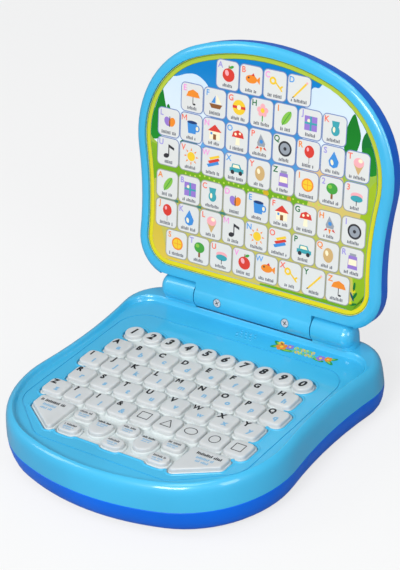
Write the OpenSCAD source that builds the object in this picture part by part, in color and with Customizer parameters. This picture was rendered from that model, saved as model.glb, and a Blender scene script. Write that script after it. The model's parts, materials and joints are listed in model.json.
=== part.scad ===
// Toy laptop computer: a clam-shell learning toy with a rubber keypad.
// Units are millimetres. +X is right, +Y is towards the hinge, +Z is up.
// The origin is on the table, under the middle of the whole toy with its lid open.

/* [Base casing] */
// Length of the base from its front edge to its rear edge
base_len = 208; // [200:1:220]
// Half width of the base at the front shoulders
base_half_w = 102; // [99:0.5:106]
// Distance from the front edge to the widest line of the base
base_crown = 76; // [74:0.5:82]
// Radius of the front shoulders of the base
base_shoulder_r = 71; // [64:0.5:72]
// How much narrower the waist of the base is, on each side
base_waist_in = 3.8; // [3:0.2:6]
// Radius of the hollow curve at the waist of the base
base_waist_r = 300; // [260:5:340]
// Radius of the rear corners of the base
base_rear_r = 30; // [24:1:34]
// Height of the line where the upper and lower casing meet
parting_z = 19.5; // [18.5:0.5:21]
// Height of the top of the rim
rim_z = 38; // [37.5:0.25:38.5]
// Height of the sunk deck around the keys
deck_z = 34; // [33.5:0.25:34.5]
// Width of the rim, from the outline to the deck
rim_w = 7; // [6:0.5:9]
// Distance from the rear edge to the ridge at the back of the deck
ridge_setback = 20.5; // [19:0.5:23]
// Wall of the casings
wall = 2.2; // [1.8:0.1:2.6]
// Thickness of the deck
deck_t = 2; // [1.6:0.1:2.4]
// Diameter of a case screw's boss
boss_d = 8; // [7:0.5:9]

/* [Hinge] */
// Distance from the rear edge of the base to the hinge axis
hinge_setback = 13.5; // [13:0.25:15]
// Height of the hinge axis
hinge_z = 46; // [45.75:0.25:47]
// Radius of the hinge barrels
barrel_r = 9.3; // [8.9:0.1:9.6]
// Length of the middle barrel, which belongs to the lid
barrel_len = 93; // [84:1:98]
// Side gap between the middle barrel and each base knuckle
barrel_gap = 0.8; // [0.5:0.1:1.2]
// Length of one base knuckle
knuckle_len = 29.5; // [26:0.5:31]
// Gap round the middle barrel in its trough
trough_gap = 0.7; // [0.4:0.1:1]
// Diameter of the steel hinge pins
pin_d = 4; // [3:0.5:5]
// Depth of a pin in the knuckle and in the barrel
pin_depth = 8; // [6:0.5:8]
// Angle that the open lid leans back from upright
lean = 11.5; // [8:0.5:14]

/* [Lid] */
// Distance from the front edge of the base to the tip of the closed lid
lid_short = 13; // [10:0.5:18]
// Distance from the hinge axis to the lid's lower edge
lid_start = 7; // [6.5:0.5:8]
// How much narrower the lid is than the base, on each side
lid_inset = 2; // [1:0.25:3]
// Distance from the top of the lid to its widest line
lid_crown = 74.5; // [73:0.5:80]
// Radius of the shoulders of the lid
lid_shoulder_r = 69; // [64:0.5:70]
// How much narrower the waist of the lid is, on each side
lid_waist_in = 4.7; // [3.5:0.1:6]
// Radius of the hollow curve at the waist of the lid
lid_waist_r = 220; // [200:5:260]
// Radius of the lower corners of the lid
lid_rear_r = 26; // [22:1:30]
// Distance from the hinge axis forward to the face of the bezel
lid_front = 7.6; // [7.2:0.1:7.6]
// Distance from the hinge axis forward to the joint of bezel and back cover, at the barrel
lid_split = 1.5; // [1:0.25:2.5]
// Distance from the hinge axis forward to the seam at the outside of the lid
lid_seam = 5; // [4.4:0.1:5.2]
// Distance from the hinge axis back to the outer face of the back cover
lid_back = 8; // [7:0.25:9]
// Wall of the lid shells
lid_wall = 1.8; // [1.5:0.1:2.2]
// Width of the bezel beside the picture card
bezel_w = 7.6; // [6.5:0.1:9]
// Width of the bezel below the picture card
bezel_low_w = 9.2; // [8.6:0.1:11]
// Depth of the picture card's recess
card_recess = 1.6; // [1.2:0.1:2]
// Thickness of the picture card
card_t = 0.6; // [0.4:0.1:0.8]
// Gap round the picture card
card_gap = 0.3; // [0.2:0.05:0.5]

/* [Keypad] */
// Distance from the side of the base to the outermost keys
keypad_side = 22; // [20:0.5:26]
// Distance from the front edge to the middle of the lowest function keys
keypad_front = 35.3; // [33:0.1:38]
// Distance from the middle of the number keys to the ridge behind the deck
keypad_rear = 42.5; // [40:0.5:46]
// Space between neighbours in a row of nine letter keys
key_space = 1.55; // [1.4:0.05:2.2]
// Space between rows of letter keys
row_space = 3.75; // [3.4:0.05:5]
// How much shorter a row of eight is than a row of nine, at each end
row_indent = 5.65; // [4:0.05:8]
// How much shorter the row of number keys is than a row of nine, at each end
number_indent = 4.3; // [3:0.05:6]
// Space between number keys
number_space = 1.5; // [1.3:0.1:3]
// Distance from the last letter row to the lowest function keys
function_block = 32.3; // [31:0.1:34]
// Width of a corner function key
wing_w = 28; // [25:0.5:29]
// Space between function keys
function_space = 2.4; // [2:0.1:4]
// Corner radius of a letter key
key_r = 3.6; // [2.5:0.1:4.5]
// Height of the top of the keys
key_top_z = 36.5; // [36:0.25:37]
// Height of the chamfered top step of a key
key_step = 0.8; // [0.5:0.1:1]
// Inset of the chamfered top step of a key
key_bevel = 0.7; // [0.4:0.1:1]
// Width of the flange that holds a key under the sheet
key_lip = 0.5; // [0.4:0.05:0.6]
// Thickness of that flange
key_lip_t = 0.8; // [0.6:0.1:0.9]
// Travel of a key
key_travel = 1; // [0.6:0.1:1.1]
// Gap round a key in the sheet
key_gap = 0.3; // [0.2:0.05:0.4]
// Thickness of the rubber sheet
sheet_t = 1.2; // [1:0.1:1.4]
// Margin of the deck opening round the keys
opening_margin = 1.8; // [1.4:0.1:2.4]
// Margin of the rubber sheet hidden under the deck
sheet_margin = 3.2; // [2.5:0.1:3.3]

/* [Inside] */
// Thickness of the circuit board
board_t = 1.6; // [1.2:0.1:2]
// Gap between the circuit board and a fully pressed key
board_gap = 0.4; // [0.3:0.1:0.8]
// Diameter of the speaker
speaker_d = 28; // [24:1:30]
// Height of the speaker
speaker_h = 9; // [7:0.5:11]
// Diameter of an AA cell
cell_d = 14.5; // [14:0.1:14.5]
// Length of an AA cell without its nub
cell_len = 49; // [48:0.5:49.5]
// Number of cells
cell_count = 3; // [2:1:3]
// Distance from the front edge to the middle of the battery bay
bay_y = 110; // [100:1:116]
// Thickness of the battery door
door_t = 2; // [1.6:0.1:2.4]
// Shank diameter of the screws
screw_d = 2.6; // [2.2:0.1:3]
// Head diameter of the screws
screw_head_d = 5.4; // [4.8:0.1:5.6]
// Head height of the screws
screw_head_h = 1.8; // [1.4:0.1:2.2]
// Height of the rubber feet under the casing
foot_h = 1.5; // [1.2:0.1:2.5]
// Diameter of the rubber feet
foot_d = 12; // [10:0.5:14]

/* [Hidden] */
KEY_ROWS = [8, 9, 8, 9];
eps = 0.01;

// ---- colours ----
SKY = [0.25, 0.72, 0.94];
ROYAL = [0.06, 0.35, 0.85];
RUBBER_WHITE = [0.86, 0.89, 0.89];
KEY_WHITE = [0.95, 0.96, 0.96];
STEEL = [0.72, 0.73, 0.75];

// ---- derived heights and places ----
lid_len = base_len - hinge_setback - lid_start - lid_short;
lid_half_w = base_half_w - lid_inset;
lid_edge_in = 4.2;
lid_edge_drop = 0.7;
lid_reach = (lid_start + lid_len - lid_edge_in) * sin(lean)
            + (lid_back - lid_edge_drop) * cos(lean);
front_y = -(base_len - hinge_setback + lid_reach) / 2;
rear_y = front_y + base_len;
hinge_y = rear_y - hinge_setback;
ridge_y = rear_y - ridge_setback;
deck_under_z = deck_z - deck_t;
sheet_under_z = deck_under_z - sheet_t;
key_edge = base_half_w - keypad_side;
narrow_pitch = (key_edge + key_space / 2) / 4.5;
key_w = narrow_pitch - key_space;
wide_pitch = (4 * narrow_pitch - row_indent) / 3.5;
number_pitch = (4 * narrow_pitch - number_indent) / 4.5;
number_d = number_pitch - number_space;
number_y = base_len - ridge_setback - keypad_rear;
row_pitch = (number_y - keypad_front - function_block) / 4;
key_h = row_pitch - row_space;
lip_top_z = sheet_under_z - key_gap;
lip_low_z = lip_top_z - key_lip_t;
board_top_z = lip_low_z - key_travel - board_gap;
board_low_z = board_top_z - board_t;
board_boss_d = 6;
screw_gap = 0.05;
screw_len = 8;
floor_z = foot_h;
floor_top_z = floor_z + wall;

// ---- outline of a casing ----
// A casing's shape: [length, half width, crown, shoulder radius, waist half width,
// waist radius, rear corner radius]. The tip lies at y = 0 and the rear at y = length.
BASE = [base_len, base_half_w, base_crown, base_shoulder_r,
        base_half_w - base_waist_in, base_waist_r, base_rear_r];
LID = [lid_len, lid_half_w, lid_crown, lid_shoulder_r,
       lid_half_w - lid_waist_in, lid_waist_r, lid_rear_r];

// The same shape, moved in by e at the tip and the sides, with its own length and
// rear corner radius. Its own tip lies at y = 0 again.
function inner_shape(s, e, len, rear_r) =
    [len, s[1] - e, s[2] - e, s[3] - e, s[4] - e, s[5] + e, rear_r];

function polar(r, a) = [r * cos(a), r * sin(a)];
function arc(c, r, from, to, n) = [for (i = [0 : n]) c + polar(r, from + (to - from) * i / n)];

TIP_STEPS = 7;
SHOULDER_STEPS = 15;
WAIST_STEPS = 7;
CORNER_STEPS = 10;

// Right half of a shape, inset by e, from its tip to its rear corner.
function half_outline(s, e) =
    let (
        cs = [s[1] - s[3], s[2]],
        k = (cs[0] * cs[0] + pow(s[2] - s[3], 2)) / (2 * (s[2] - s[3])),
        tip_r = k + s[3],
        tip_a = asin(cs[0] / k),
        wx = s[4] + s[5],
        wy = cs[1] + sqrt(pow(s[3] + s[5], 2) - pow(wx - cs[0], 2)),
        ry = s[0] - s[6],
        rx = wx - sqrt(pow(s[5] + s[6], 2) - pow(ry - wy, 2)),
        a1 = atan2(wy - cs[1], wx - cs[0]),
        a2 = atan2(ry - wy, wx - rx)
    )
    concat(
        [for (i = [1 : TIP_STEPS]) [0, tip_r] + polar(tip_r - e, -90 + tip_a * i / TIP_STEPS)],
        [for (i = [1 : SHOULDER_STEPS])
            cs + polar(s[3] - e, -90 + tip_a + (a1 + 90 - tip_a) * i / SHOULDER_STEPS)],
        [for (i = [1 : WAIST_STEPS])
            [wx, wy] + polar(s[5] + e, 180 + a1 - (a1 + a2) * i / WAIST_STEPS)],
        [for (i = [1 : CORNER_STEPS])
            [rx, ry] + polar(s[6] - e, -a2 + (90 + a2) * i / CORNER_STEPS)]
    );

function mirrored(pts) = [for (i = [len(pts) - 1 : -1 : 0]) [-pts[i][0], pts[i][1]]];
function outline(s, e) = concat([[0, e]], half_outline(s, e), mirrored(half_outline(s, e)));

// A solid through rings of one shape. Each ring is [inset, height], lowest first.
module loft(s, rings) {
    loops = [for (r = rings) outline(s, r[0])];
    n = len(loops[0]);
    m = len(rings);
    pts = [for (j = [0 : m - 1]) for (p = loops[j]) [p[0], p[1], rings[j][1]]];
    sides = [for (j = [0 : m - 2]) for (i = [0 : n - 1])
        [j * n + i, (j + 1) * n + i, (j + 1) * n + (i + 1) % n, j * n + (i + 1) % n]];
    low = [for (i = [0 : n - 1]) i];
    high = [for (i = [0 : n - 1]) m * n - 1 - i];
    polyhedron(pts, concat(sides, [low, high]), convexity = 6);
}

// ---- small shapes ----
module rounded_plate(w, h, r, z0, z1) {
    translate([0, 0, z0])
        linear_extrude(z1 - z0) {
            square([w - 2 * r, h], center = true);
            square([w, h - 2 * r], center = true);
            for (x = [-1, 1], y = [-1, 1])
                translate([x * (w / 2 - r), y * (h / 2 - r)])
                    circle(r, $fn = 24);
        }
}

module tube(outer_d, inner_d, z0, z1) {
    translate([0, 0, z0])
        difference() {
            cylinder(d = outer_d, h = z1 - z0, $fn = 32);
            translate([0, 0, -eps])
                cylinder(d = inner_d, h = z1 - z0 + 2 * eps, $fn = 24);
        }
}

// A screw that points up, with the underside of its head at z = 0.
module screw(len) {
    translate([0, 0, -screw_head_h])
        cylinder(d = screw_head_d, h = screw_head_h, $fn = 24);
    cylinder(d = screw_d, h = len, $fn = 24);
}

module x_cylinder(r, x0, x1) {
    translate([x0, 0, 0])
        rotate([0, 90, 0])
            cylinder(r = r, h = x1 - x0, $fn = 64);
}

// ---- keypad layout ----
function row_y(r) = front_y + number_y - row_pitch * r;
function row_gap(r) = KEY_ROWS[r - 1] == 8 ? wide_pitch : narrow_pitch;
function key_x(r, i) = (i - (KEY_ROWS[r - 1] - 1) / 2) * row_gap(r);
function number_x(i) = (i - 4.5) * number_pitch;

// Function keys lie below the last letter row.
wing_edge = key_edge - 6;
function_pitch = (wing_edge - wing_w - function_space) / 2.5;
oval_w = function_pitch - function_space;
oval_h = 10;
shield_w = oval_w;
shield_h = 13.4;
upper_y = row_y(4) - 16.6;
shield_y = row_y(4) - 24.2;
lower_y = row_y(4) - function_block;
wing_r = 2.5;
field_drop = 4.6;
wing_in = wing_edge - wing_w + wing_r;
wing_out = wing_edge - wing_r;
wing_top = row_y(4) - 11.2 - wing_r;
wing_knee = row_y(4) - 20.6;
wing_foot = row_y(4) - 35.5;

module oval_2d(grow) {
    r = oval_h * 0.42 + grow;
    square([oval_w + 2 * grow, oval_h + 2 * grow - 2 * r], center = true);
    square([oval_w + 2 * grow - 2 * r, oval_h + 2 * grow], center = true);
    for (x = [-1, 1], y = [-1, 1])
        translate([x * (oval_w / 2 + grow - r), y * (oval_h / 2 + grow - r)])
            circle(r, $fn = 24);
}

module shield_2d(grow) {
    r = shield_w / 2 + grow;
    corner = 2 + grow;
    mid = shield_w / 2 - shield_h / 2;
    top = shield_h / 2 + grow;
    translate([0, mid])
        intersection() {
            circle(r, $fn = 48);
            translate([-r, -r])
                square([2 * r, r + 0.5]);
        }
    translate([-r, mid])
        square([2 * r, top - corner - mid]);
    translate([-r + corner, mid])
        square([2 * (r - corner), top - mid]);
    for (x = [-1, 1])
        translate([x * (r - corner), top - corner])
            circle(corner, $fn = 24);
}

function edge_normal(a, b) = [b[1] - a[1], a[0] - b[0]] / norm(b - a);

// A convex shape grown by r about its corner points, listed anticlockwise.
module blunt_2d(pts, r) {
    n = len(pts);
    polygon([for (i = [0 : n - 1], end = [0, 1])
        let (a = pts[i], b = pts[(i + 1) % n])
        (end == 0 ? a : b) + r * edge_normal(a, b)]);
    for (p = pts)
        translate(p)
            circle(r, $fn = 24);
}

// The right corner key, a triangle with blunt corners.
module wing_2d(grow) {
    blunt_2d([[wing_in, wing_foot], [wing_out, wing_knee], [wing_out, wing_top],
              [wing_in, wing_top]], wing_r + grow);
}

module function_key_2d(i, grow) {
    if (i < 3) {
        translate([(i - 1) * 2 * function_pitch, upper_y])
            oval_2d(grow);
    } else if (i < 6) {
        translate([(i - 4) * 2 * function_pitch, lower_y])
            oval_2d(grow);
    } else if (i < 8) {
        translate([(2 * i - 13) * function_pitch, shield_y])
            shield_2d(grow);
    } else if (i == 8) {
        mirror([1, 0])
            wing_2d(grow);
    } else {
        wing_2d(grow);
    }
}

module key_2d(grow) {
    w = key_w + 2 * grow;
    h = key_h + 2 * grow;
    r = key_r + grow;
    square([w - 2 * r, h], center = true);
    square([w, h - 2 * r], center = true);
    for (x = [-1, 1], y = [-1, 1])
        translate([x * (w / 2 - r), y * (h / 2 - r)])
            circle(r, $fn = 24);
}

module number_2d(grow) {
    circle(number_d / 2 + grow, $fn = 40);
}

module all_keys_2d(grow) {
    for (i = [0 : 9])
        translate([number_x(i), row_y(0)])
            number_2d(grow);
    for (r = [1 : 4], i = [0 : KEY_ROWS[r - 1] - 1])
        translate([key_x(r, i), row_y(r)])
            key_2d(grow);
    for (i = [0 : 9])
        function_key_2d(i, grow);
}

// Keys along the edge of the keypad, with the field between them filled.
module keypad_field_2d(grow) {
    for (i = [0 : 9])
        translate([number_x(i), row_y(0)])
            number_2d(grow);
    for (r = [1 : 4], i = [0, KEY_ROWS[r - 1] - 1])
        translate([key_x(r, i), row_y(r)])
            key_2d(grow);
    for (r = [1 : 4])
        translate([0, row_y(r)])
            square([2 * key_x(r, KEY_ROWS[r - 1] - 1), row_pitch + 2 * grow], center = true);
    translate([-number_x(9), row_y(1)])
        square([2 * number_x(9), row_pitch]);
    for (i = [3 : 9])
        function_key_2d(i, grow);
    translate([-wing_in - 4, lower_y - field_drop])
        square([2 * wing_in + 8, row_y(4) - lower_y + field_drop]);
}

// ---- keys ----
module key_solid() {
    translate([0, 0, lip_low_z])
        linear_extrude(key_lip_t)
            children(0);
    translate([0, 0, lip_low_z])
        linear_extrude(key_top_z - key_step - lip_low_z)
            children(1);
    translate([0, 0, lip_low_z])
        linear_extrude(key_top_z - lip_low_z)
            children(2);
}

module number_key(i) {
    color(KEY_WHITE)
        translate([number_x(i), row_y(0), 0])
            key_solid() {
                number_2d(key_lip - 0.1);
                number_2d(0);
                number_2d(-key_bevel);
            }
}

module letter_key(r, i) {
    color(KEY_WHITE)
        translate([key_x(r, i), row_y(r), 0])
            key_solid() {
                key_2d(key_lip);
                key_2d(0);
                key_2d(-key_bevel);
            }
}

module function_keys() {
    color(KEY_WHITE)
        for (i = [0 : 9])
            key_solid() {
                function_key_2d(i, key_lip);
                function_key_2d(i, 0);
                function_key_2d(i, -key_bevel);
            }
}

module keypad_sheet() {
    color(RUBBER_WHITE)
        translate([0, 0, sheet_under_z])
            linear_extrude(sheet_t)
                difference() {
                    keypad_field_2d(opening_margin + sheet_margin);
                    all_keys_2d(key_gap);
                }
}

// ---- base ----
function both_sides(pts) = concat(pts, [for (p = pts) [-p[0], p[1]]]);
CASE_BOSSES = both_sides([[base_half_w - 33, 31], [base_half_w - 19, base_len - 32],
                          [34, base_len - 14.5]]);
BOARD_BOSSES = both_sides([[base_half_w - 46, keypad_front - 12.3],
                           [base_half_w - 40, number_y + 19]]);
FEET = both_sides([[base_half_w - 42, 40], [base_half_w - 36, base_len - 34]]);
boss_rise = 1.6;
seam = 0.35;
module at_front(p) {
    translate([p[0], front_y + p[1], 0])
        children();
}

KNUCKLE_X0 = barrel_len / 2 + barrel_gap;
KNUCKLE_X1 = KNUCKLE_X0 + knuckle_len;
knuckle_round = 7;
pedestal_y = ridge_y - hinge_y;

// One base knuckle on the right: a barrel with a round outer end, on its pedestal.
module knuckle() {
    translate([0, hinge_y, hinge_z])
        rotate([0, 90, 0])
            rotate_extrude($fn = 64) {
                translate([0, KNUCKLE_X0])
                    square([barrel_r, knuckle_len - knuckle_round]);
                translate([0, KNUCKLE_X0])
                    square([barrel_r - knuckle_round, knuckle_len]);
                translate([barrel_r - knuckle_round, KNUCKLE_X1 - knuckle_round])
                    intersection() {
                        circle(knuckle_round, $fn = 48);
                        square(knuckle_round);
                    }
            }
    translate([0, hinge_y, deck_under_z + 1])
        linear_extrude(hinge_z - deck_under_z - 1) {
            translate([KNUCKLE_X0, pedestal_y])
                square([knuckle_len - knuckle_round, barrel_r - pedestal_y]);
            translate([KNUCKLE_X0, pedestal_y + knuckle_round])
                square([knuckle_len, barrel_r - pedestal_y - 2 * knuckle_round]);
            for (y = [pedestal_y + knuckle_round, barrel_r - knuckle_round])
                translate([KNUCKLE_X1 - knuckle_round, y])
                    circle(knuckle_round, $fn = 48);
        }
}

module pin_bore(d) {
    for (side = [0, 1])
        mirror([side, 0, 0])
            x_cylinder(d / 2, barrel_len / 2 - pin_depth - eps, KNUCKLE_X0 + pin_depth);
}

DECK = inner_shape(BASE, rim_w, base_len - ridge_setback - rim_w, 16);

module speaker_holes() {
    for (p = [[0, 0], [-3.6, 0], [3.6, 0], [-7.2, 0], [7.2, 0], [-1.8, 3.1], [1.8, 3.1],
              [-5.4, 3.1], [5.4, 3.1], [-1.8, -3.1], [1.8, -3.1], [-5.4, -3.1], [5.4, -3.1]])
        translate([p[0], speaker_y + p[1], deck_under_z - eps])
            cylinder(d = 1.4, h = deck_t + 2 * eps, $fn = 16);
}
speaker_y = ridge_y - 8.5;

// The groove round the keypad, as a band that follows a blunt outline.
groove_r = 18;
groove_w = 0.8;
groove_d = 0.5;
GROOVE_REAR = ridge_y - 17.5 - groove_r;
GROOVE = both_sides([[base_half_w - 57, front_y + 38.5]]);
GROOVE_SIDE = base_half_w - 14.8 - groove_r;
GROOVE_LOOP = [GROOVE[1], GROOVE[0], [GROOVE_SIDE, front_y + 58], [GROOVE_SIDE, GROOVE_REAR],
               [-GROOVE_SIDE, GROOVE_REAR], [-GROOVE_SIDE, front_y + 58]];

module groove() {
    translate([0, 0, deck_z - groove_d])
        linear_extrude(groove_d + eps)
            difference() {
                blunt_2d(GROOVE_LOOP, groove_r + groove_w / 2);
                blunt_2d(GROOVE_LOOP, groove_r - groove_w / 2);
            }
}

module base_top_case() {
    color(SKY)
        difference() {
            union() {
                difference() {
                    translate([0, front_y, 0])
                        loft(BASE, [[seam, parting_z], [0, parting_z + seam], [0.4, rim_z - 11],
                                    [0.9, rim_z - 7], [1.4, rim_z - 4.4], [2.3, rim_z - 2.4],
                                    [3.5, rim_z - 1], [4.9, rim_z - 0.25], [6.2, rim_z]]);
                    translate([0, front_y, 0])
                        loft(BASE, [[wall + seam, parting_z - eps], [wall + 1.2, deck_under_z]]);
                }
                for (side = [0, 1])
                    mirror([side, 0, 0])
                        knuckle();
                for (p = CASE_BOSSES)
                    at_front(p)
                        tube(boss_d, screw_d + 2 * screw_gap, parting_z, deck_under_z + eps);
                for (p = BOARD_BOSSES)
                    at_front(p)
                        tube(board_boss_d, screw_d + 2 * screw_gap, board_top_z, deck_under_z + eps);
                translate([0, speaker_y, 0])
                    tube(speaker_d + 3.4, speaker_d + 0.4, deck_under_z - 3, deck_under_z + eps);
            }
            translate([0, front_y + rim_w, 0])
                loft(DECK, [[1.8, deck_z], [0.8, deck_z + 0.35], [0.2, deck_z + 1.2],
                            [-0.1, rim_z - 1.6], [-0.6, rim_z - 0.6], [-1.4, rim_z + eps]]);
            translate([0, hinge_y, hinge_z]) {
                x_cylinder(barrel_r + trough_gap, -KNUCKLE_X0, KNUCKLE_X0);
                pin_bore(pin_d);
            }
            translate([0, 0, deck_under_z - 1])
                linear_extrude(deck_t + 2)
                    keypad_field_2d(opening_margin);
            groove();
            speaker_holes();
        }
}

BAY_W = cell_len + 10;
BAY_D = cell_count * (cell_d + 0.4) + 1;
bay_roof_z = floor_z + door_t + 0.5 + cell_d + 0.5;
bay_mid_y = front_y + bay_y;
door_w = BAY_W + 8;
door_d = BAY_D + 10;
door_gap = 0.3;
door_screw_y = bay_mid_y + door_d / 2 + 4;

module base_bottom_case() {
    color(ROYAL)
        difference() {
            union() {
                difference() {
                    translate([0, front_y, 0])
                        loft(BASE, [[12.6, floor_z], [9.3, floor_z + 0.35], [6.4, floor_z + 1.5],
                                    [3.9, floor_z + 3.6], [2.1, floor_z + 6.4], [1, floor_z + 9.8],
                                    [0.2, floor_z + 14], [0, parting_z - seam], [seam, parting_z]]);
                    translate([0, front_y, 0])
                        loft(BASE, [[13.4, floor_top_z], [7.4, floor_z + 4],
                                    [4.4, floor_z + 7.2], [wall + 0.9, floor_z + 10.5],
                                    [wall + seam, parting_z + eps]]);
                }
                for (p = CASE_BOSSES)
                    at_front(p)
                        translate([0, 0, floor_z + boss_rise])
                            cylinder(d = boss_d, h = parting_z - floor_z - boss_rise, $fn = 32);
                translate([-BAY_W / 2 - wall, bay_mid_y - BAY_D / 2 - wall, floor_z + 0.5])
                    cube([BAY_W + 2 * wall, BAY_D + 2 * wall, bay_roof_z + wall - floor_z - 0.5]);
                translate([0, door_screw_y, floor_z + 0.5])
                    cylinder(d = boss_d, h = 11, $fn = 32);
            }
            for (p = CASE_BOSSES)
                at_front(p) {
                    translate([0, 0, floor_z - eps])
                        cylinder(d = screw_head_d + 0.6, h = parting_z - 4 - floor_z + eps,
                                 $fn = 32);
                    cylinder(d = screw_d + 2 * screw_gap, h = parting_z + 1, $fn = 24);
                }
            for (p = FEET)
                at_front(p)
                    translate([0, 0, floor_z - eps])
                        cylinder(d = foot_d + 0.4, h = 0.8, $fn = 32);
            translate([-BAY_W / 2, bay_mid_y - BAY_D / 2, floor_z - eps])
                cube([BAY_W, BAY_D, bay_roof_z - floor_z]);
            translate([-door_w / 2, bay_mid_y - door_d / 2, floor_z - eps])
                cube([door_w, door_d, door_t / 2 + eps]);
            translate([0, door_screw_y, floor_z - eps])
                cylinder(d = 14, h = door_t / 2 + eps, $fn = 32);
            translate([0, door_screw_y, 0])
                cylinder(d = screw_d + 2 * screw_gap, h = floor_z + 9, $fn = 24);
        }
}

module battery_door() {
    color(ROYAL)
        difference() {
            union() {
                translate([-door_w / 2 + door_gap, bay_mid_y - door_d / 2 + door_gap, floor_z])
                    cube([door_w - 2 * door_gap, door_d - 2 * door_gap, door_t / 2]);
                translate([0, door_screw_y, floor_z])
                    cylinder(d = 14 - 2 * door_gap, h = door_t / 2, $fn = 32);
                translate([-BAY_W / 2 + door_gap, bay_mid_y - BAY_D / 2 + door_gap, floor_z])
                    cube([BAY_W - 2 * door_gap, BAY_D - 2 * door_gap, door_t]);
            }
            translate([0, door_screw_y, 0])
                cylinder(d = screw_d + 2 * screw_gap, h = 9, $fn = 24);
        }
}

cell_z = floor_z + door_t + 0.3 + cell_d / 2;
function cell_y(i) = bay_mid_y + (i - (cell_count - 1) / 2) * (cell_d + 0.4);
contact_t = 0.5;
nub_len = 1.2;

module batteries() {
    color([0.2, 0.2, 0.22])
        for (i = [0 : cell_count - 1])
            translate([0, cell_y(i), cell_z])
                rotate([0, 0, i % 2 == 0 ? 0 : 180])
                    translate([-cell_len / 2, 0, 0])
                        rotate([0, 90, 0]) {
                            cylinder(d = cell_d, h = cell_len, $fn = 48);
                            cylinder(d = 5.5, h = cell_len + nub_len, $fn = 24);
                        }
}

module battery_contacts() {
    color(STEEL)
        for (i = [0 : cell_count - 1], end = [-1, 1]) {
            plus = (i % 2 == 0) == (end > 0);
            reach = cell_len / 2 + (plus ? nub_len : 0) + 0.3;
            translate([end * (BAY_W / 2 - contact_t / 2), cell_y(i), cell_z])
                cube([contact_t, cell_d - 3, cell_d - 4], center = true);
            translate([end * (reach + BAY_W / 2 - contact_t) / 2, cell_y(i), cell_z])
                rotate([0, 90, 0])
                    cylinder(d = plus ? 5 : 7, h = BAY_W / 2 - contact_t - reach + eps,
                             center = true, $fn = 24);
        }
}

board_half_w = key_edge + 5.5;
board_rear = 13;
board_front = 16.3;
board_shoulder_y = number_y - 4 * row_pitch - 17.6;
board_tab_w = base_half_w - 41;

module circuit_board() {
    color([0.1, 0.45, 0.2])
        difference() {
            translate([0, front_y, board_low_z])
                linear_extrude(board_t) {
                    translate([-board_half_w, board_shoulder_y])
                        square([2 * board_half_w, number_y + board_rear - board_shoulder_y]);
                    translate([-board_tab_w, keypad_front - board_front])
                        square([2 * board_tab_w, board_shoulder_y + 1 - keypad_front + board_front]);
                    for (p = BOARD_BOSSES)
                        if (p[1] > number_y)
                            translate([p[0] - board_boss_d, number_y + board_rear - 1])
                                square([2 * board_boss_d, p[1] + board_boss_d / 2 + 2
                                        - number_y - board_rear + 1]);
                }
            for (p = BOARD_BOSSES)
                at_front(p)
                    translate([0, 0, board_low_z - eps])
                        cylinder(d = screw_d + 0.4, h = board_t + 2 * eps, $fn = 24);
        }
    color([0.1, 0.1, 0.1])
        translate([-9, front_y + 60, board_low_z - 2])
            cube([18, 12, 2]);
}

module speaker() {
    color([0.15, 0.15, 0.16])
        translate([0, speaker_y, deck_under_z]) {
            translate([0, 0, -2])
                cylinder(d = speaker_d, h = 2, $fn = 48);
            translate([0, 0, -speaker_h])
                cylinder(d = speaker_d * 0.6, h = speaker_h - 1, $fn = 48);
        }
}

module base_screws() {
    color(STEEL) {
        for (p = CASE_BOSSES)
            at_front(p)
                translate([0, 0, parting_z - 4])
                    screw(screw_len + 2);
        for (p = BOARD_BOSSES)
            at_front(p)
                translate([0, 0, board_low_z])
                    screw(board_t + 3.4);
        translate([0, door_screw_y, floor_z + door_t / 2])
            translate([0, 0, -door_t / 2])
                screw(screw_len);
    }
}

module rubber_feet() {
    color([0.15, 0.15, 0.17])
        for (p = FEET)
            at_front(p)
                cylinder(d = foot_d, h = floor_z + 0.8 - eps, $fn = 32);
}

// ---- lid, modelled closed about the hinge axis, face down ----
module lid_place() {
    translate([0, hinge_y, hinge_z])
        rotate([-90 - lean, 0, 0])
            children();
}
lid_tip = -lid_start - lid_len;
CARD_LEN = lid_len - bezel_w - bezel_low_w;
CARD = inner_shape(LID, bezel_w, CARD_LEN, lid_rear_r - bezel_w);
card_face = lid_front - card_recess;
panel_back = card_face - card_t - 1.8;
lip_in = lid_wall + 0.2;
lid_edge_h = lid_front - lid_seam;
neck_gap = 0.2;
hollow_r = barrel_r - 2.2;
hollow_x = barrel_len / 2 - pin_depth - 1;
LID_BOSSES = both_sides([[lid_half_w - 30, -lid_start - 29], [lid_half_w - 32, lid_tip + 51.5],
                         [26, lid_tip + 21.5]]);
BARREL_SCREW_X = 27.4;
lid_boss_d = screw_head_d + 3.6;
stop_w = 16;
stop_gap = 0.2;
knuckle_gap = 0.5;

// Everything that the lid leaves free for the base knuckles.
module knuckle_room() {
    for (side = [0, 1])
        mirror([side, 0, 0]) {
            x_cylinder(barrel_r + knuckle_gap, barrel_len / 2, KNUCKLE_X1 + 1);
            translate([barrel_len / 2, -barrel_r - knuckle_gap, -lid_front - 1])
                cube([knuckle_len + barrel_gap + 1, 2 * barrel_r, lid_front + 1]);
        }
}

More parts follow.
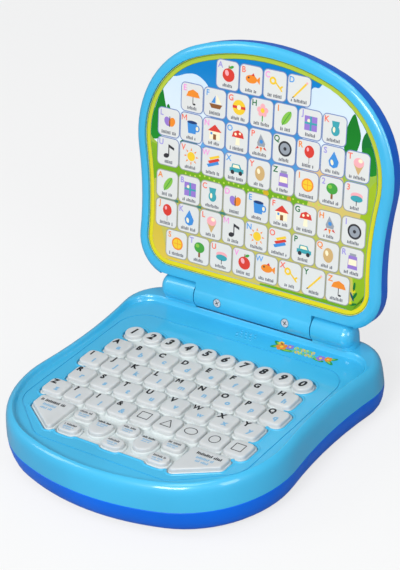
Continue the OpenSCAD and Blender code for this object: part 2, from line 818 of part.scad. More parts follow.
module lid_bezel() {
    color(SKY)
        lid_place()
            difference() {
                union() {
                    difference() {
                        translate([0, lid_tip, 0]) {
                            loft(LID, [[4.4, -lid_front], [2.7, -lid_front + 0.13 * lid_edge_h],
                                       [1.3, -lid_front + 0.42 * lid_edge_h],
                                       [0.4, -lid_front + 0.75 * lid_edge_h], [0, -lid_seam]]);
                            loft(LID, [[lip_in, -lid_seam - 0.5], [lip_in, -lid_split]]);
                        }
                        translate([0, lid_tip, 0])
                            loft(LID, [[lip_in + 1.9, -panel_back], [lip_in + 1.5, -lid_split + eps]]);
                    }
                    x_cylinder(barrel_r, -barrel_len / 2, barrel_len / 2);
                    translate([-barrel_len / 2, -lid_start - 6, -lid_front])
                        cube([barrel_len, lid_start + 4, lid_front - lid_split]);
                    for (p = LID_BOSSES)
                        translate(p)
                            tube(6, screw_d + 2 * screw_gap, -panel_back - eps, -lid_split);
                }
                translate([0, lid_tip + bezel_w, 0])
                    loft(CARD, [[-card_gap, -lid_front - eps], [-card_gap, -card_face + card_t]]);
                knuckle_room();
                x_cylinder(hollow_r, -hollow_x, hollow_x);
                translate([-hollow_x, -barrel_r - 1, -lid_split])
                    cube([2 * hollow_x, 2 * barrel_r + 2, barrel_r + lid_split + 1]);
                pin_bore(pin_d + 0.1);
                for (x = [-1, 1])
                    translate([x * BARREL_SCREW_X, 0, 0]) {
                        translate([0, 0, -barrel_r - 1])
                            cylinder(d = screw_head_d + 1, h = 3, $fn = 32);
                        translate([0, 0, -barrel_r - 1])
                            cylinder(d = screw_d + 2 * screw_gap, h = barrel_r, $fn = 24);
                    }
            }
}

module lid_back_cover() {
    color(ROYAL)
        lid_place()
            difference() {
                union() {
                    difference() {
                        translate([0, lid_tip, 0])
                            loft(LID, [[0, -lid_seam], [0.5, lid_back - 5], [1.8, lid_back - 2.4],
                                       [lid_edge_in, lid_back - lid_edge_drop], [8, lid_back]]);
                        translate([0, lid_tip, 0])
                            loft(LID, [[lid_wall, -lid_seam - eps], [lid_wall, -lid_split],
                                       [lid_wall + 0.6, lid_back - 5], [6, lid_back - lid_wall]]);
                        translate([-barrel_len / 2 - neck_gap, -lid_start - 6 - neck_gap, -lid_seam - 1])
                            cube([barrel_len + 2 * neck_gap, 2 * lid_start + 6, lid_seam + 1 - lid_split]);
                    }
                    rotate([90 + lean, 0, 0])
                        translate([-stop_w / 2, 6.2, rim_z + stop_gap - hinge_z])
                            cube([stop_w, 4.8, 3.7]);
                    intersection() {
                        x_cylinder(barrel_r, -hollow_x, hollow_x);
                        translate([-hollow_x, -barrel_r, -lid_split])
                            cube([2 * hollow_x, 2 * barrel_r, 2 * barrel_r]);
                    }
                    for (p = LID_BOSSES)
                        translate([p[0], p[1], -lid_split])
                            cylinder(d = lid_boss_d, h = lid_back + lid_split - 1, $fn = 32);
                }
                knuckle_room();
                for (side = [0, 1])
                    mirror([side, 0, 0])
                        x_cylinder(barrel_r + 0.2, hollow_x, barrel_len / 2 + 1);
                difference() {
                    x_cylinder(hollow_r, -hollow_x - eps, hollow_x + eps);
                    for (x = [-1, 1])
                        translate([x * BARREL_SCREW_X, 0, -lid_split])
                            cylinder(d = 6, h = barrel_r, $fn = 32);
                }
                for (x = [-1, 1])
                    translate([x * BARREL_SCREW_X, 0, -lid_split - 1])
                        cylinder(d = screw_d + 2 * screw_gap, h = 8, $fn = 24);
                for (p = LID_BOSSES)
                    translate(p) {
                        translate([0, 0, -lid_split - 1])
                            cylinder(d = screw_d + 2 * screw_gap, h = 20, $fn = 24);
                        translate([0, 0, lid_back - 4])
                            cylinder(d = screw_head_d + 0.6, h = 10, $fn = 32);
                    }
            }
}

module picture_card() {
    color([0.55, 0.8, 0.35])
        lid_place()
            translate([0, lid_tip + bezel_w, 0])
                loft(CARD, [[0, -card_face], [0, -card_face + card_t - eps]]);
}

module lid_screws() {
    color(STEEL)
        lid_place() {
            for (x = [-1, 1])
                translate([x * BARREL_SCREW_X, 0, -barrel_r + 2])
                    screw(9);
            for (p = LID_BOSSES)
                translate([p[0], p[1], lid_back - 4])
                    rotate([180, 0, 0])
                        screw(6.5);
        }
}

module hinge_pins() {
    color(STEEL)
        translate([0, hinge_y, hinge_z])
            for (side = [0, 1])
                mirror([side, 0, 0])
                    x_cylinder(pin_d / 2, barrel_len / 2 - pin_depth + 0.3, KNUCKLE_X0 + pin_depth);
}

base_top_case();
base_bottom_case();
keypad_sheet();
circuit_board();
speaker();
battery_door();
batteries();
battery_contacts();
base_screws();
rubber_feet();
hinge_pins();
lid_bezel();
lid_back_cover();
picture_card();
lid_screws();
function_keys();
for (i = [0 : 9])
    number_key(i);
for (r = [1 : 4], i = [1 : KEY_ROWS[r - 1]])
    letter_key(r, i - 1);
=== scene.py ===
"""Toy laptop computer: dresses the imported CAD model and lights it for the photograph's view."""
import json
import math

import bmesh
import bpy
from mathutils import Matrix, Vector


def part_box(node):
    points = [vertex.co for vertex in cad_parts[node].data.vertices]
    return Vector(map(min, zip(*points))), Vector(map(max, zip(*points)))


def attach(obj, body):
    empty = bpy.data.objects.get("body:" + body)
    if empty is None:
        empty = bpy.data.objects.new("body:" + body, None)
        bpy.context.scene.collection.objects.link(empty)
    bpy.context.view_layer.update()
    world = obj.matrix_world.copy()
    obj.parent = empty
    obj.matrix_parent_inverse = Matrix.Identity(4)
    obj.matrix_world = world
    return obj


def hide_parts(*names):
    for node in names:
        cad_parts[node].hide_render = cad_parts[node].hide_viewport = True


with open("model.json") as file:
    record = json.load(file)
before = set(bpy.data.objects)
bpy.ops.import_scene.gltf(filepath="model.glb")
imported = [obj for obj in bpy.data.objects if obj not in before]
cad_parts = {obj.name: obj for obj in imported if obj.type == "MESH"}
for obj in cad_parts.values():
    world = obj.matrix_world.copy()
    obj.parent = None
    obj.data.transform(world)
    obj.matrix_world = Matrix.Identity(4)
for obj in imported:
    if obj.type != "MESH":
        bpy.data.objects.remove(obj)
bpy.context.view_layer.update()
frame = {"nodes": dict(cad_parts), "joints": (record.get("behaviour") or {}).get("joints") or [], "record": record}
NODES = frame["nodes"]
SLOT_OF = {p["node"]: p["material_slot"] for p in frame["record"]["subparts"]}
BODY_OF = {n: b for b, ns in frame["record"]["behaviour"]["bodies"].items() for n in ns}
MM = 0.001


# ---------------------------------------------------------------- places taken from the frame, in mm
def node_box(node):
    """The middle and the size of a CAD node's box."""
    low, high = (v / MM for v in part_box(node))
    return (low + high) / 2, high - low


HINGE_JOINT = next(j for j in frame["joints"] if j["name"] == "lid_hinge")
HINGE = Vector(HINGE_JOINT["pos_m"]) / MM
LEAN = math.radians(HINGE_JOINT["range_deg"][1] - 90.0)
LID_UP = Vector((0, math.sin(LEAN), math.cos(LEAN)))
LID_OUT = Vector((0, -math.cos(LEAN), math.sin(LEAN)))
FRONT_Y = (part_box("base_bottom_case")[0] / MM).y
KEY_TOP_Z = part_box("key_row1_1")[1].z / MM
SHEET_TOP_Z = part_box("keypad_sheet")[1].z / MM
DECK_Z = SHEET_TOP_Z + 2.0  # the deck's flat face lies this far above the keypad sheet


def lid_matrix():
    """Lid coordinates: x to the right, y up the lid from the hinge, z out of its face."""
    return Matrix([(1, LID_UP.x, LID_OUT.x, HINGE.x), (0, LID_UP.y, LID_OUT.y, HINGE.y),
                   (0, LID_UP.z, LID_OUT.z, HINGE.z), (0, 0, 0, 1)])


# ---------------------------------------------------------------- materials
def srgb(r, g, b):
    """A colour written as 0-255 display values, in linear light."""
    def linear(c):
        c /= 255
        return c / 12.92 if c <= 0.04045 else ((c + 0.055) / 1.055) ** 2.4
    return (linear(r), linear(g), linear(b), 1.0)


def shade(color, factor):
    return tuple(min(1.0, c * factor) for c in color[:3]) + (1.0,)


class Shader:
    """A node material with object coordinates and a few short ways to add nodes."""

    def __init__(self, name, **sockets):
        self.mat = bpy.data.materials.new(name)
        self.mat.use_nodes = True
        self.tree = self.mat.node_tree
        self.bsdf = self.tree.nodes["Principled BSDF"]
        for key, value in sockets.items():
            self.bsdf.inputs[key.replace("_", " ").title().replace("Ior", "IOR")].default_value = value
        self.coords = self.add("ShaderNodeTexCoord").outputs["Object"]

    def add(self, kind, inputs=None, **props):
        """A node. Each input is given as a value or as another node's output."""
        node = self.tree.nodes.new(kind)
        for key, value in props.items():
            setattr(node, key, value)
        for key, value in (inputs or {}).items():
            if isinstance(value, bpy.types.NodeSocket):
                self.tree.links.new(value, node.inputs[key])
            else:
                node.inputs[key].default_value = value
        return node

    def noise(self, scale, detail):
        node = self.add("ShaderNodeTexNoise", {"Vector": self.coords, "Scale": scale, "Detail": detail,
                                               "Roughness": 0.5})
        return node.outputs["Fac"]

    def ramp(self, fac, low, high):
        """Runs from the colour low to high over the middle values of a noise."""
        node = self.add("ShaderNodeValToRGB", {"Fac": fac})
        for element, position, color in zip(node.color_ramp.elements, (0.35, 0.65), (low, high)):
            element.position, element.color = position, color
        return node.outputs["Color"]

    def rough(self, fac, low, high):
        node = self.add("ShaderNodeMapRange", {"Value": fac, "To Min": low, "To Max": high})
        self.link(node.outputs["Result"], "Roughness")

    def link(self, output, socket):
        self.tree.links.new(output, self.bsdf.inputs[socket])

    def bump(self, fac, distance):
        node = self.add("ShaderNodeBump", {"Height": fac, "Distance": distance, "Strength": 1.0})
        self.link(node.outputs["Normal"], "Normal")


# No plastic has patches of a roughness below 0.28, because they come out of the denoiser dark.
def moulded(name, color, rough=0.36, coat=0.8, vary=0.05, grain=900.0, bump=0.00002, shine=0.5):
    """Injection-moulded plastic: faint flow clouds, a fine grain and patches of handling wear."""
    s = Shader(name, coat_weight=coat, coat_roughness=0.07, specular_ior_level=shine)
    s.link(s.ramp(s.noise(14.0, 2.0), shade(color, 1 - vary), shade(color, 1 + vary)), "Base Color")
    s.rough(s.noise(60.0, 4.0), rough * 0.8, rough * 1.35)
    s.bump(s.noise(grain, 2.0), bump)
    return s.mat


def silicone(name, color, rough=0.42):
    """Soft rubber that lets a little light through."""
    s = Shader(name, subsurface_weight=0.25, subsurface_scale=0.002, coat_weight=0.12,
               coat_roughness=0.3, subsurface_radius=(1.0, 0.9, 0.8))
    s.link(s.ramp(s.noise(45.0, 3.0), shade(color, 0.96), shade(color, 1.03)), "Base Color")
    s.rough(s.noise(160.0, 3.0), rough * 0.9, rough * 1.2)
    s.bump(s.noise(2200.0, 2.0), 0.00001)
    return s.mat


def metal(name, color, rough, metallic):
    s = Shader(name, metallic=metallic)
    s.link(s.ramp(s.noise(400.0, 3.0), shade(color, 0.85), shade(color, 1.1)), "Base Color")
    s.rough(s.noise(900.0, 2.0), rough * 0.8, rough * 1.4)
    s.bump(s.noise(1500.0, 2.0), 0.00001)
    return s.mat


def printed(name, coat, rough, specks):
    """Ink on paper or on rubber: each point's colour comes from the mesh, under a clear film."""
    s = Shader(name, coat_weight=coat, coat_roughness=0.08, specular_ior_level=0.25)
    ink = s.add("ShaderNodeAttribute", attribute_name="ink").outputs["Color"]
    speck = s.ramp(s.noise(specks, 4.0), (0.93, 0.93, 0.93, 1), (1.0, 1.0, 1.0, 1))
    mix = s.add("ShaderNodeMix", {"Factor": 1.0, 6: ink, 7: speck}, data_type="RGBA",
                blend_type="MULTIPLY")
    s.link(mix.outputs[2], "Base Color")
    s.rough(s.noise(200.0, 2.0), rough * 0.85, rough * 1.2)
    return s.mat


SKY = srgb(56, 176, 220)
ROYAL = srgb(0, 104, 222)
M_SKY = moulded("sky_blue_plastic", SKY)
M_ROYAL = moulded("royal_blue_plastic", ROYAL, vary=0.06, coat=0.12, shine=0.2)
M_KEY = silicone("white_silicone_key", srgb(199, 202, 203))
M_SHEET = silicone("grey_silicone_sheet", srgb(206, 213, 213), rough=0.4)
M_FOOT = moulded("black_rubber_foot", srgb(42, 42, 45), rough=0.7, coat=0.0, grain=1500.0,
                 bump=0.00005)
M_BOARD = moulded("green_circuit_board", srgb(28, 110, 58), rough=0.45, coat=0.2)
M_DARK = moulded("black_speaker", srgb(38, 38, 40), rough=0.6, coat=0.0)
M_CELL = moulded("battery_jacket", srgb(60, 62, 66), rough=0.35)
M_STEEL = metal("screw_steel", srgb(222, 224, 228), rough=0.36, metallic=0.45)
M_CARD = printed("card_print", coat=0.25, rough=0.4, specks=1.6)
M_LEGEND = printed("key_legend", coat=0.1, rough=0.5, specks=900.0)
M_PAPER = moulded("card_board_edge", srgb(226, 226, 220), rough=0.6, coat=0.0)

MATERIAL_OF = {
    "sky_plastic": M_SKY, "royal_plastic": M_ROYAL, "keypad_rubber": M_SHEET, "key_rubber": M_KEY,
    "foot_rubber": M_FOOT, "card": M_PAPER, "board": M_BOARD, "dark_plastic": M_DARK,
    "cell": M_CELL, "steel": M_STEEL,
}


# ---------------------------------------------------------------- CAD nodes: soft shading and materials
def smooth_group(limit_deg):
    """Geometry nodes that join split points and shade every edge under the limit smooth."""
    g = bpy.data.node_groups.new(f"shade_smooth_{limit_deg}", "GeometryNodeTree")
    g.interface.new_socket("Geometry", in_out="INPUT", socket_type="NodeSocketGeometry")
    g.interface.new_socket("Geometry", in_out="OUTPUT", socket_type="NodeSocketGeometry")
    start, end = g.nodes.new("NodeGroupInput"), g.nodes.new("NodeGroupOutput")
    merge = g.nodes.new("GeometryNodeMergeByDistance")
    merge.inputs["Distance"].default_value = 2e-6
    soft = g.nodes.new("GeometryNodeSetShadeSmooth")
    soft.inputs["Shade Smooth"].default_value = True
    hard = g.nodes.new("GeometryNodeSetShadeSmooth")
    hard.domain = "EDGE"
    hard.inputs["Shade Smooth"].default_value = False
    angle = g.nodes.new("GeometryNodeInputMeshEdgeAngle")
    test = g.nodes.new("FunctionNodeCompare")
    test.operation = "GREATER_THAN"
    test.inputs["B"].default_value = math.radians(limit_deg)
    for a, b in [(start.outputs[0], merge.inputs["Geometry"]),
                 (merge.outputs["Geometry"], soft.inputs["Geometry"]),
                 (soft.outputs["Geometry"], hard.inputs["Geometry"]),
                 (angle.outputs["Unsigned Angle"], test.inputs["A"]),
                 (test.outputs["Result"], hard.inputs["Selection"]),
                 (hard.outputs["Geometry"], end.inputs[0])]:
        g.links.new(a, b)
    return g


soft_edges = smooth_group(34)
for name, obj in NODES.items():
    normals = obj.data.attributes.get("custom_normal")
    if normals:
        obj.data.attributes.remove(normals)
    obj.data.materials.clear()
    obj.data.materials.append(MATERIAL_OF[SLOT_OF[name]])
    obj.modifiers.new("soft edges", "NODES").node_group = soft_edges
    even = obj.modifiers.new("even normals", "WEIGHTED_NORMAL")
    even.mode, even.keep_sharp = "FACE_AREA", True


# ---------------------------------------------------------------- mesh helpers
CREASE_DEG = 40
ARC_STEP_DEG, ROUND_POINTS = 15, 48


def finish_piece(name, bm, body, material, replaces=(), matrix=None, smooth=True):
    """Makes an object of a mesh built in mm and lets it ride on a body."""
    mesh = bpy.data.meshes.new(name)
    bm.to_mesh(mesh)
    bm.free()
    mesh.transform(Matrix.Scale(MM, 4))
    obj = bpy.data.objects.new(name, mesh)
    bpy.context.scene.collection.objects.link(obj)
    mesh.materials.append(material)
    if smooth:
        mesh.polygons.foreach_set("use_smooth", [True] * len(mesh.polygons))
        mesh.set_sharp_from_angle(angle=math.radians(CREASE_DEG))
    if matrix is not None:
        m = matrix.copy()
        m.translation *= MM
        obj.matrix_world = m
    bpy.context.view_layer.update()
    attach(obj, body)
    if replaces:
        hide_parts(*replaces)


def centre(circles):
    return sum(c[0] for c in circles) / len(circles), sum(c[1] for c in circles) / len(circles)


def rounded_rect(w, h, r, x=0.0, y=0.0):
    return [(x + sx * (w / 2 - r), y + sy * (h / 2 - r), r)
            for sx, sy in [(1, -1), (1, 1), (-1, 1), (-1, -1)]]


def blunt_loop(circles, inset=0.0):
    """The outline round circles (x, y, r), listed anticlockwise, moved in by inset."""
    n = len(circles)
    if n == 1:
        x, y, r = circles[0]
        turns = [2 * math.pi * i / ROUND_POINTS for i in range(ROUND_POINTS)]
        return [Vector((x + (r - inset) * math.cos(a), y + (r - inset) * math.sin(a))) for a in turns]
    normals = []
    for i, (x0, y0, r0) in enumerate(circles):
        x1, y1, r1 = circles[(i + 1) % n]
        length = math.hypot(x1 - x0, y1 - y0)
        normals.append(math.atan2(y1 - y0, x1 - x0) - math.acos((r0 - r1) / length))
    loop = []
    for i, (x, y, r) in enumerate(circles):
        a0, a1 = normals[i - 1], normals[i]
        while a1 < a0 - 1e-9:
            a1 += 2 * math.pi
        steps = max(2, round(math.degrees(a1 - a0) / ARC_STEP_DEG))
        for k in range(steps + 1):
            a = a0 + (a1 - a0) * k / steps
            loop.append(Vector((x + (r - inset) * math.cos(a), y + (r - inset) * math.sin(a))))
    return loop


def loft(bm, loops):
    """Walls between closed loops of equal length, given as lists of 3-D points."""
    rings = [[bm.verts.new(p) for p in loop] for loop in loops]
    for low, high in zip(rings, rings[1:]):
        n = len(low)
        for i in range(n):
            j = (i + 1) % n
            bm.faces.new((low[i], low[j], high[j], high[i]))
    return rings


def signed_area(pts):
    """Twice the area inside a closed outline, negative if it runs clockwise."""
    return sum(a[0] * b[1] - b[0] * a[1] for a, b in zip(pts, list(pts[1:]) + [pts[0]]))


def disc(x, y, rx, ry, turn=0.0, count=20):
    c, s = math.cos(math.radians(turn)), math.sin(math.radians(turn))
    pts = []
    for i in range(count):
        a = 2 * math.pi * i / count
        px, py = rx * math.cos(a), ry * math.sin(a)
        pts.append((x + px * c - py * s, y + px * s + py * c))
    return pts


def bar(x0, y0, x1, y1, width):
    n = Vector((y0 - y1, x1 - x0)).normalized() * width / 2
    return [(x0 - n.x, y0 - n.y), (x1 - n.x, y1 - n.y), (x1 + n.x, y1 + n.y), (x0 + n.x, y0 + n.y)]


# ---------------------------------------------------------------- ink: flat shapes with a colour each
class Ink:
    """Flat printed shapes in one mesh."""

    def __init__(self):
        self.bm = bmesh.new()
        self.layer = self.bm.loops.layers.float_color.new("ink")

    def face(self, pts, z, color):
        """A face at height z. color is one colour or a function of (x, y)."""
        f = self.bm.faces.new([self.bm.verts.new((p[0], p[1], z)) for p in pts])
        for loop in f.loops:
            loop[self.layer] = color(loop.vert.co.x, loop.vert.co.y) if callable(color) else color
        return f

    def flat(self, pts, z, color):
        """A face that looks up, whichever way its outline runs."""
        f = self.face(pts, z, color)
        if signed_area(pts) < 0:
            f.normal_flip()

    def outline(self, pts, z, color, width):
        """A closed line of constant width."""
        for (x0, y0), (x1, y1) in zip(pts, pts[1:] + pts[:1]):
            self.face(bar(x0, y0, x1, y1, width), z, color)

    def glyph(self, char, x, y, height, z, color, slant=0.0, spread=0.0):
        """A letter with its middle at (x, y)."""
        verts, faces = glyph_mesh(char, spread)
        k = height / CAPITAL_H
        for face in faces:
            pts = [verts[i] for i in face]
            self.face([(x + (px + slant * py) * k, y + py * k) for px, py in pts], z, color)

    def ticks(self, cx, cy, width, height, z, color, pitch, seed):
        """Upright ticks of three heights, each with a level dash, in the place of a line of print."""
        count = int(width / pitch)
        for k in range(count):
            if (k * 7 + seed * 3) % 11 == 5:
                continue  # a gap, as between two words
            x, low = cx + (k - (count - 1) / 2) * pitch, cy - height / 2
            tall = height * (0.72 + 0.28 * ((k * 5 + seed) % 3) / 2)
            self.face(bar(x, low, x, low + tall, pitch * TICK_W), z, color)
            y = cy - height * 0.36 + 0.3 * height * (k % 3)
            self.face(bar(x - pitch * DASH_L / 2, y, x + pitch * DASH_L / 2, y, height * DASH_H),
                      z + 0.002, color)


TICK_W, DASH_L, DASH_H = 0.62, 0.9, 0.2  # as shares of the pitch, the pitch and the height
CAPITAL_H = 0.70  # of Blender's own font at size 1
CLOSE_LETTERS, CLOSE_SPREAD = "W&mw", 0.6  # these fill in when they are thickened like the others
glyphs = {}


def capital_m(stem):
    """Points and faces of an M of four strokes, open enough to read when it is small."""
    high, half, low = CAPITAL_H, 0.38, 0.14
    pts, faces = [], []
    for side in (-1, 1):
        inner, lean = side * (half - stem), side * (half - 1.25 * stem)
        strokes = [[(side * half, 0), (inner, 0), (inner, high), (side * half, high)],
                   [(side * half, high), (lean, high), (-side * 0.02, low + stem),
                    (-side * 0.02, low - 0.04)]]
        for stroke in strokes:
            if signed_area(stroke) < 0:
                stroke = stroke[::-1]
            faces.append(tuple(range(len(pts), len(pts) + 4)))
            pts += [(x, y - high / 2) for x, y in stroke]
    return pts, faces


def glyph_mesh(char, spread):
    """Points and faces of a letter of Blender's own font, centred on its box. spread thickens it."""
    if char == "M":
        return capital_m(0.09 + 1.6 * spread)
    if char in CLOSE_LETTERS:
        spread *= CLOSE_SPREAD
    key = (char, spread)
    if key not in glyphs:
        curve = bpy.data.curves.new("glyph", "FONT")
        curve.body = char
        curve.size = 1.0
        curve.offset = spread
        curve.resolution_u = 3
        curve.fill_mode = "FRONT"
        obj = bpy.data.objects.new("glyph", curve)
        mesh = obj.to_mesh()
        xs, ys = [v.co.x for v in mesh.vertices], [v.co.y for v in mesh.vertices]
        cx, cy = (min(xs) + max(xs)) / 2, (min(ys) + max(ys)) / 2
        glyphs[key] = ([(x - cx, y - cy) for x, y in zip(xs, ys)],
                       [tuple(p.vertices) for p in mesh.polygons])
        obj.to_mesh_clear()
        bpy.data.objects.remove(obj)
        bpy.data.curves.remove(curve)
    return glyphs[key]


# ---------------------------------------------------------------- keys
BLACK, PALE_BLUE, SIGN_LINE = srgb(22, 22, 26), srgb(128, 178, 212), srgb(48, 48, 54)
KEY_LIP = 0.5  # width of the flange round a CAD key, which the web hides
KEY_CORNER, KEY_FILLET, KEY_DRAFT = 3.6, 0.95, 0.2
KEY_CROWN = 0.14  # how far the middle of a key lies above its rounded edge
LEGEND_Z = KEY_TOP_Z + 0.03
LETTER_H, LETTER_SPREAD = 4.3, 0.055
LETTER_AT, MARK_AT = (-4.1, 3.7), (2.2, -2.9)
DIGIT_H, DIGIT_SLANT, DIGIT_SPREAD = 5.9, 0.15, 0.05
SIGN_WIDTH = 0.62


def add_key(bm, circles, z_low):
    """A soft-edged key whose outline is given as blunt circles. Its top is flat but for its edge."""
    cx, cy = centre(circles)
    edge_z = KEY_TOP_Z - KEY_CROWN
    steps = [(0.0, z_low), (KEY_DRAFT, edge_z - KEY_FILLET)]
    for a in (25, 50, 70, 85):
        steps.append((KEY_DRAFT + KEY_FILLET * (1 - math.cos(math.radians(a))),
                      edge_z - KEY_FILLET * (1 - math.sin(math.radians(a)))))
    steps += [(KEY_DRAFT + KEY_FILLET + 0.7, edge_z + 0.8 * KEY_CROWN),
              (KEY_DRAFT + KEY_FILLET + 1.3, KEY_TOP_Z)]
    most = min(c[2] for c in circles) - 0.05
    loops = []
    for inset, z in steps:
        loop = blunt_loop(circles, min(inset, most))
        if inset > most:  # the smallest corner is used up, so the whole outline shrinks instead
            k = 1 - (inset - most) / 9
            loop = [Vector((cx + (p.x - cx) * k, cy + (p.y - cy) * k)) for p in loop]
        loops.append([Vector((p.x, p.y, z)) for p in loop])
    top = loft(bm, loops)[-1]
    tip = bm.verts.new((cx, cy, KEY_TOP_Z))
    for a, b in zip(top, top[1:] + top[:1]):
        bm.faces.new((a, b, tip))


def key_piece(node, outlines, ink):
    """Replaces a key node by soft keys and their printed legends."""
    bm = bmesh.new()
    for circles in outlines:
        add_key(bm, circles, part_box(node)[0].z / MM)
    finish_piece(node + "_soft", bm, BODY_OF[node], M_KEY, replaces=(node,))
    finish_piece(node + "_legend", ink.bm, BODY_OF[node], M_LEGEND, smooth=False)


key_signs = iter("ABCDEFGHIJKLMNOPQRSTUVWXYZ?!&")
OUTLINE_SIGNS = {
    "key_row4_5": [(-3.9, -3.2), (3.9, -3.2), (3.9, 3.2), (-3.9, 3.2)],
    "key_row4_6": [(-4.1, -3.1), (4.1, -3.1), (0.0, 3.7)],
    "key_row4_7": disc(0, 0, 4.4, 3.2, count=32),
    "key_row4_8": disc(0, 0, 3.6, 3.6, count=32),
    "key_row4_9": [(-3.5, -3.5), (3.5, -3.5), (3.5, 3.5), (-3.5, 3.5)],
}
key_outlines = []
for row, count in enumerate((8, 9, 8, 9), start=1):
    for i in range(1, count + 1):
        node = f"key_row{row}_{i}"
        mid, size = node_box(node)
        key_outlines.append(rounded_rect(size.x - 2 * KEY_LIP, size.y - 2 * KEY_LIP, KEY_CORNER,
                                         mid.x, mid.y))
        ink = Ink()
        if node in OUTLINE_SIGNS:
            ink.outline([(mid.x + x, mid.y + y) for x, y in OUTLINE_SIGNS[node]], LEGEND_Z,
                        SIGN_LINE, SIGN_WIDTH)
        else:
            char = next(key_signs)
            for sign, (x, y), color in ((char, LETTER_AT, BLACK), (char.lower(), MARK_AT, PALE_BLUE)):
                ink.glyph(sign, mid.x + x, mid.y + y, LETTER_H, LEGEND_Z, color, spread=LETTER_SPREAD)
        key_piece(node, key_outlines[-1:], ink)

for i in range(10):
    node = f"number_key_{i}"
    mid, size = node_box(node)
    key_outlines.append([(mid.x, mid.y, size.x / 2 - KEY_LIP + 0.1)])
    ink = Ink()
    ink.glyph(str((i + 1) % 10), mid.x, mid.y, DIGIT_H, LEGEND_Z, BLACK, DIGIT_SLANT, DIGIT_SPREAD)
    key_piece(node, key_outlines[-1:], ink)

# Function keys: their middles come from the letter rows, as in the CAD.
ROW4_Y = node_box("key_row4_1")[0].y
ROW2_EDGE = node_box("key_row2_9")[0].x + node_box("key_row2_9")[1].x / 2 - KEY_LIP
WING_EDGE = ROW2_EDGE - 6.0
WING_W, WING_R = 28.0, 2.5
FUNCTION_SPACE = 2.4
FUNCTION_PITCH = (WING_EDGE - WING_W - FUNCTION_SPACE) / 2.5
OVAL_W, OVAL_H = FUNCTION_PITCH - FUNCTION_SPACE, 10.0
SHIELD_H, SHIELD_R = 13.4, 2.0
UPPER_Y, SHIELD_Y, LOWER_Y = ROW4_Y - 16.6, ROW4_Y - 24.2, ROW4_Y - 32.3
wing_left, wing_right = WING_EDGE - WING_W + WING_R, WING_EDGE - WING_R
wing_top = ROW4_Y - 11.2 - WING_R
wing = [(wing_left, ROW4_Y - 35.5, WING_R), (wing_right, ROW4_Y - 20.6, WING_R),
        (wing_right, wing_top, WING_R), (wing_left, wing_top, WING_R)]
shield = [(0, OVAL_W / 2 - SHIELD_H / 2, OVAL_W / 2 - 0.02),
          (OVAL_W / 2 - SHIELD_R, SHIELD_H / 2 - SHIELD_R, SHIELD_R),
          (-OVAL_W / 2 + SHIELD_R, SHIELD_H / 2 - SHIELD_R, SHIELD_R)]
ovals = [rounded_rect(OVAL_W, OVAL_H, OVAL_H * 0.42, k * FUNCTION_PITCH, y)
         for y in (UPPER_Y, LOWER_Y) for k in (-2, 0, 2)]
shields = [[(x + k * FUNCTION_PITCH, y + SHIELD_Y, r) for x, y, r in shield] for k in (-1, 1)]
wings = [[(-x, y, r) for x, y, r in reversed(wing)], wing]

# Ticks in place of words: height above the key's middle, width, height, colour, pitch and seed.
SMALL_WORDS = [(1.5, 10.2, 1.7, SIGN_LINE, 0.86, 0), (-0.9, 8.4, 1.4, PALE_BLUE, 0.8, 2),
               (-2.8, 6.4, 1.1, PALE_BLUE, 0.8, 5)]
WING_WORDS = [(0.0, 20.0, 2.5, BLACK, 1.15, 0), (-4.0, 13.0, 2.3, PALE_BLUE, 1.05, 1),
              (-7.4, 10.0, 2.1, PALE_BLUE, 1.05, 4)]
ink = Ink()
for k, circles in enumerate(ovals + shields + wings):
    cx, cy = centre(circles)
    words = SMALL_WORDS
    if circles in shields:
        cy += 0.9
    elif circles in wings:
        cx, cy, words = math.copysign(WING_EDGE - WING_W / 2 + 1.0, cx), ROW4_Y - 16.3, WING_WORDS
    for rise, width, height, color, pitch, seed in words:
        ink.ticks(cx, cy + rise, width, height, LEGEND_Z, color, pitch, k + seed)
key_piece("function_keys", ovals + shields + wings, ink)

# The web: a soft moulded frame round each key, with a narrow groove to its neighbours.
# Each wall is a list of (inset, height above the sheet), from outside to inside.
FRAME_H = 2.0
ROUND_GROW, FUNCTION_GROW = 0.68, 1.1
OUTER_WALL = [(0.0, -0.05), (0.03, 1.1), (0.12, 1.42), (0.3, 1.72), (0.55, FRAME_H - 0.08),
              (0.66, FRAME_H)]
INNER_WALL = [(-0.1, FRAME_H - 0.1), (0.12, FRAME_H - 0.4)]
WEB_R, WEB_GROW_X, WEB_GROW_Y = 0.6, 0.06, 1.1


def grown(circles, by):
    return [(x, y, r + by) for x, y, r in circles]


def frame_round(bm, inner, outer):
    """A low rubber frame from a key's outline to an outer outline of as many circles."""
    loft(bm, [[Vector((p.x, p.y, SHEET_TOP_Z + rise)) for p in blunt_loop(circles, inset)]
              for circles, wall in ((outer, OUTER_WALL), (inner, INNER_WALL)) for inset, rise in wall])


bm = bmesh.new()
for circles in key_outlines:
    if len(circles) == 1:
        frame_round(bm, circles, grown(circles, ROUND_GROW))
    else:
        cx, cy = centre(circles)
        frame_round(bm, circles, [(x + math.copysign(WEB_GROW_X, x - cx),
                                   y + math.copysign(WEB_GROW_Y, y - cy), r + WEB_R)
                                  for x, y, r in circles])
for circles in ovals + shields + wings:
    frame_round(bm, circles, grown(circles, FUNCTION_GROW))
finish_piece("keypad_webs", bm, "base", M_SHEET)


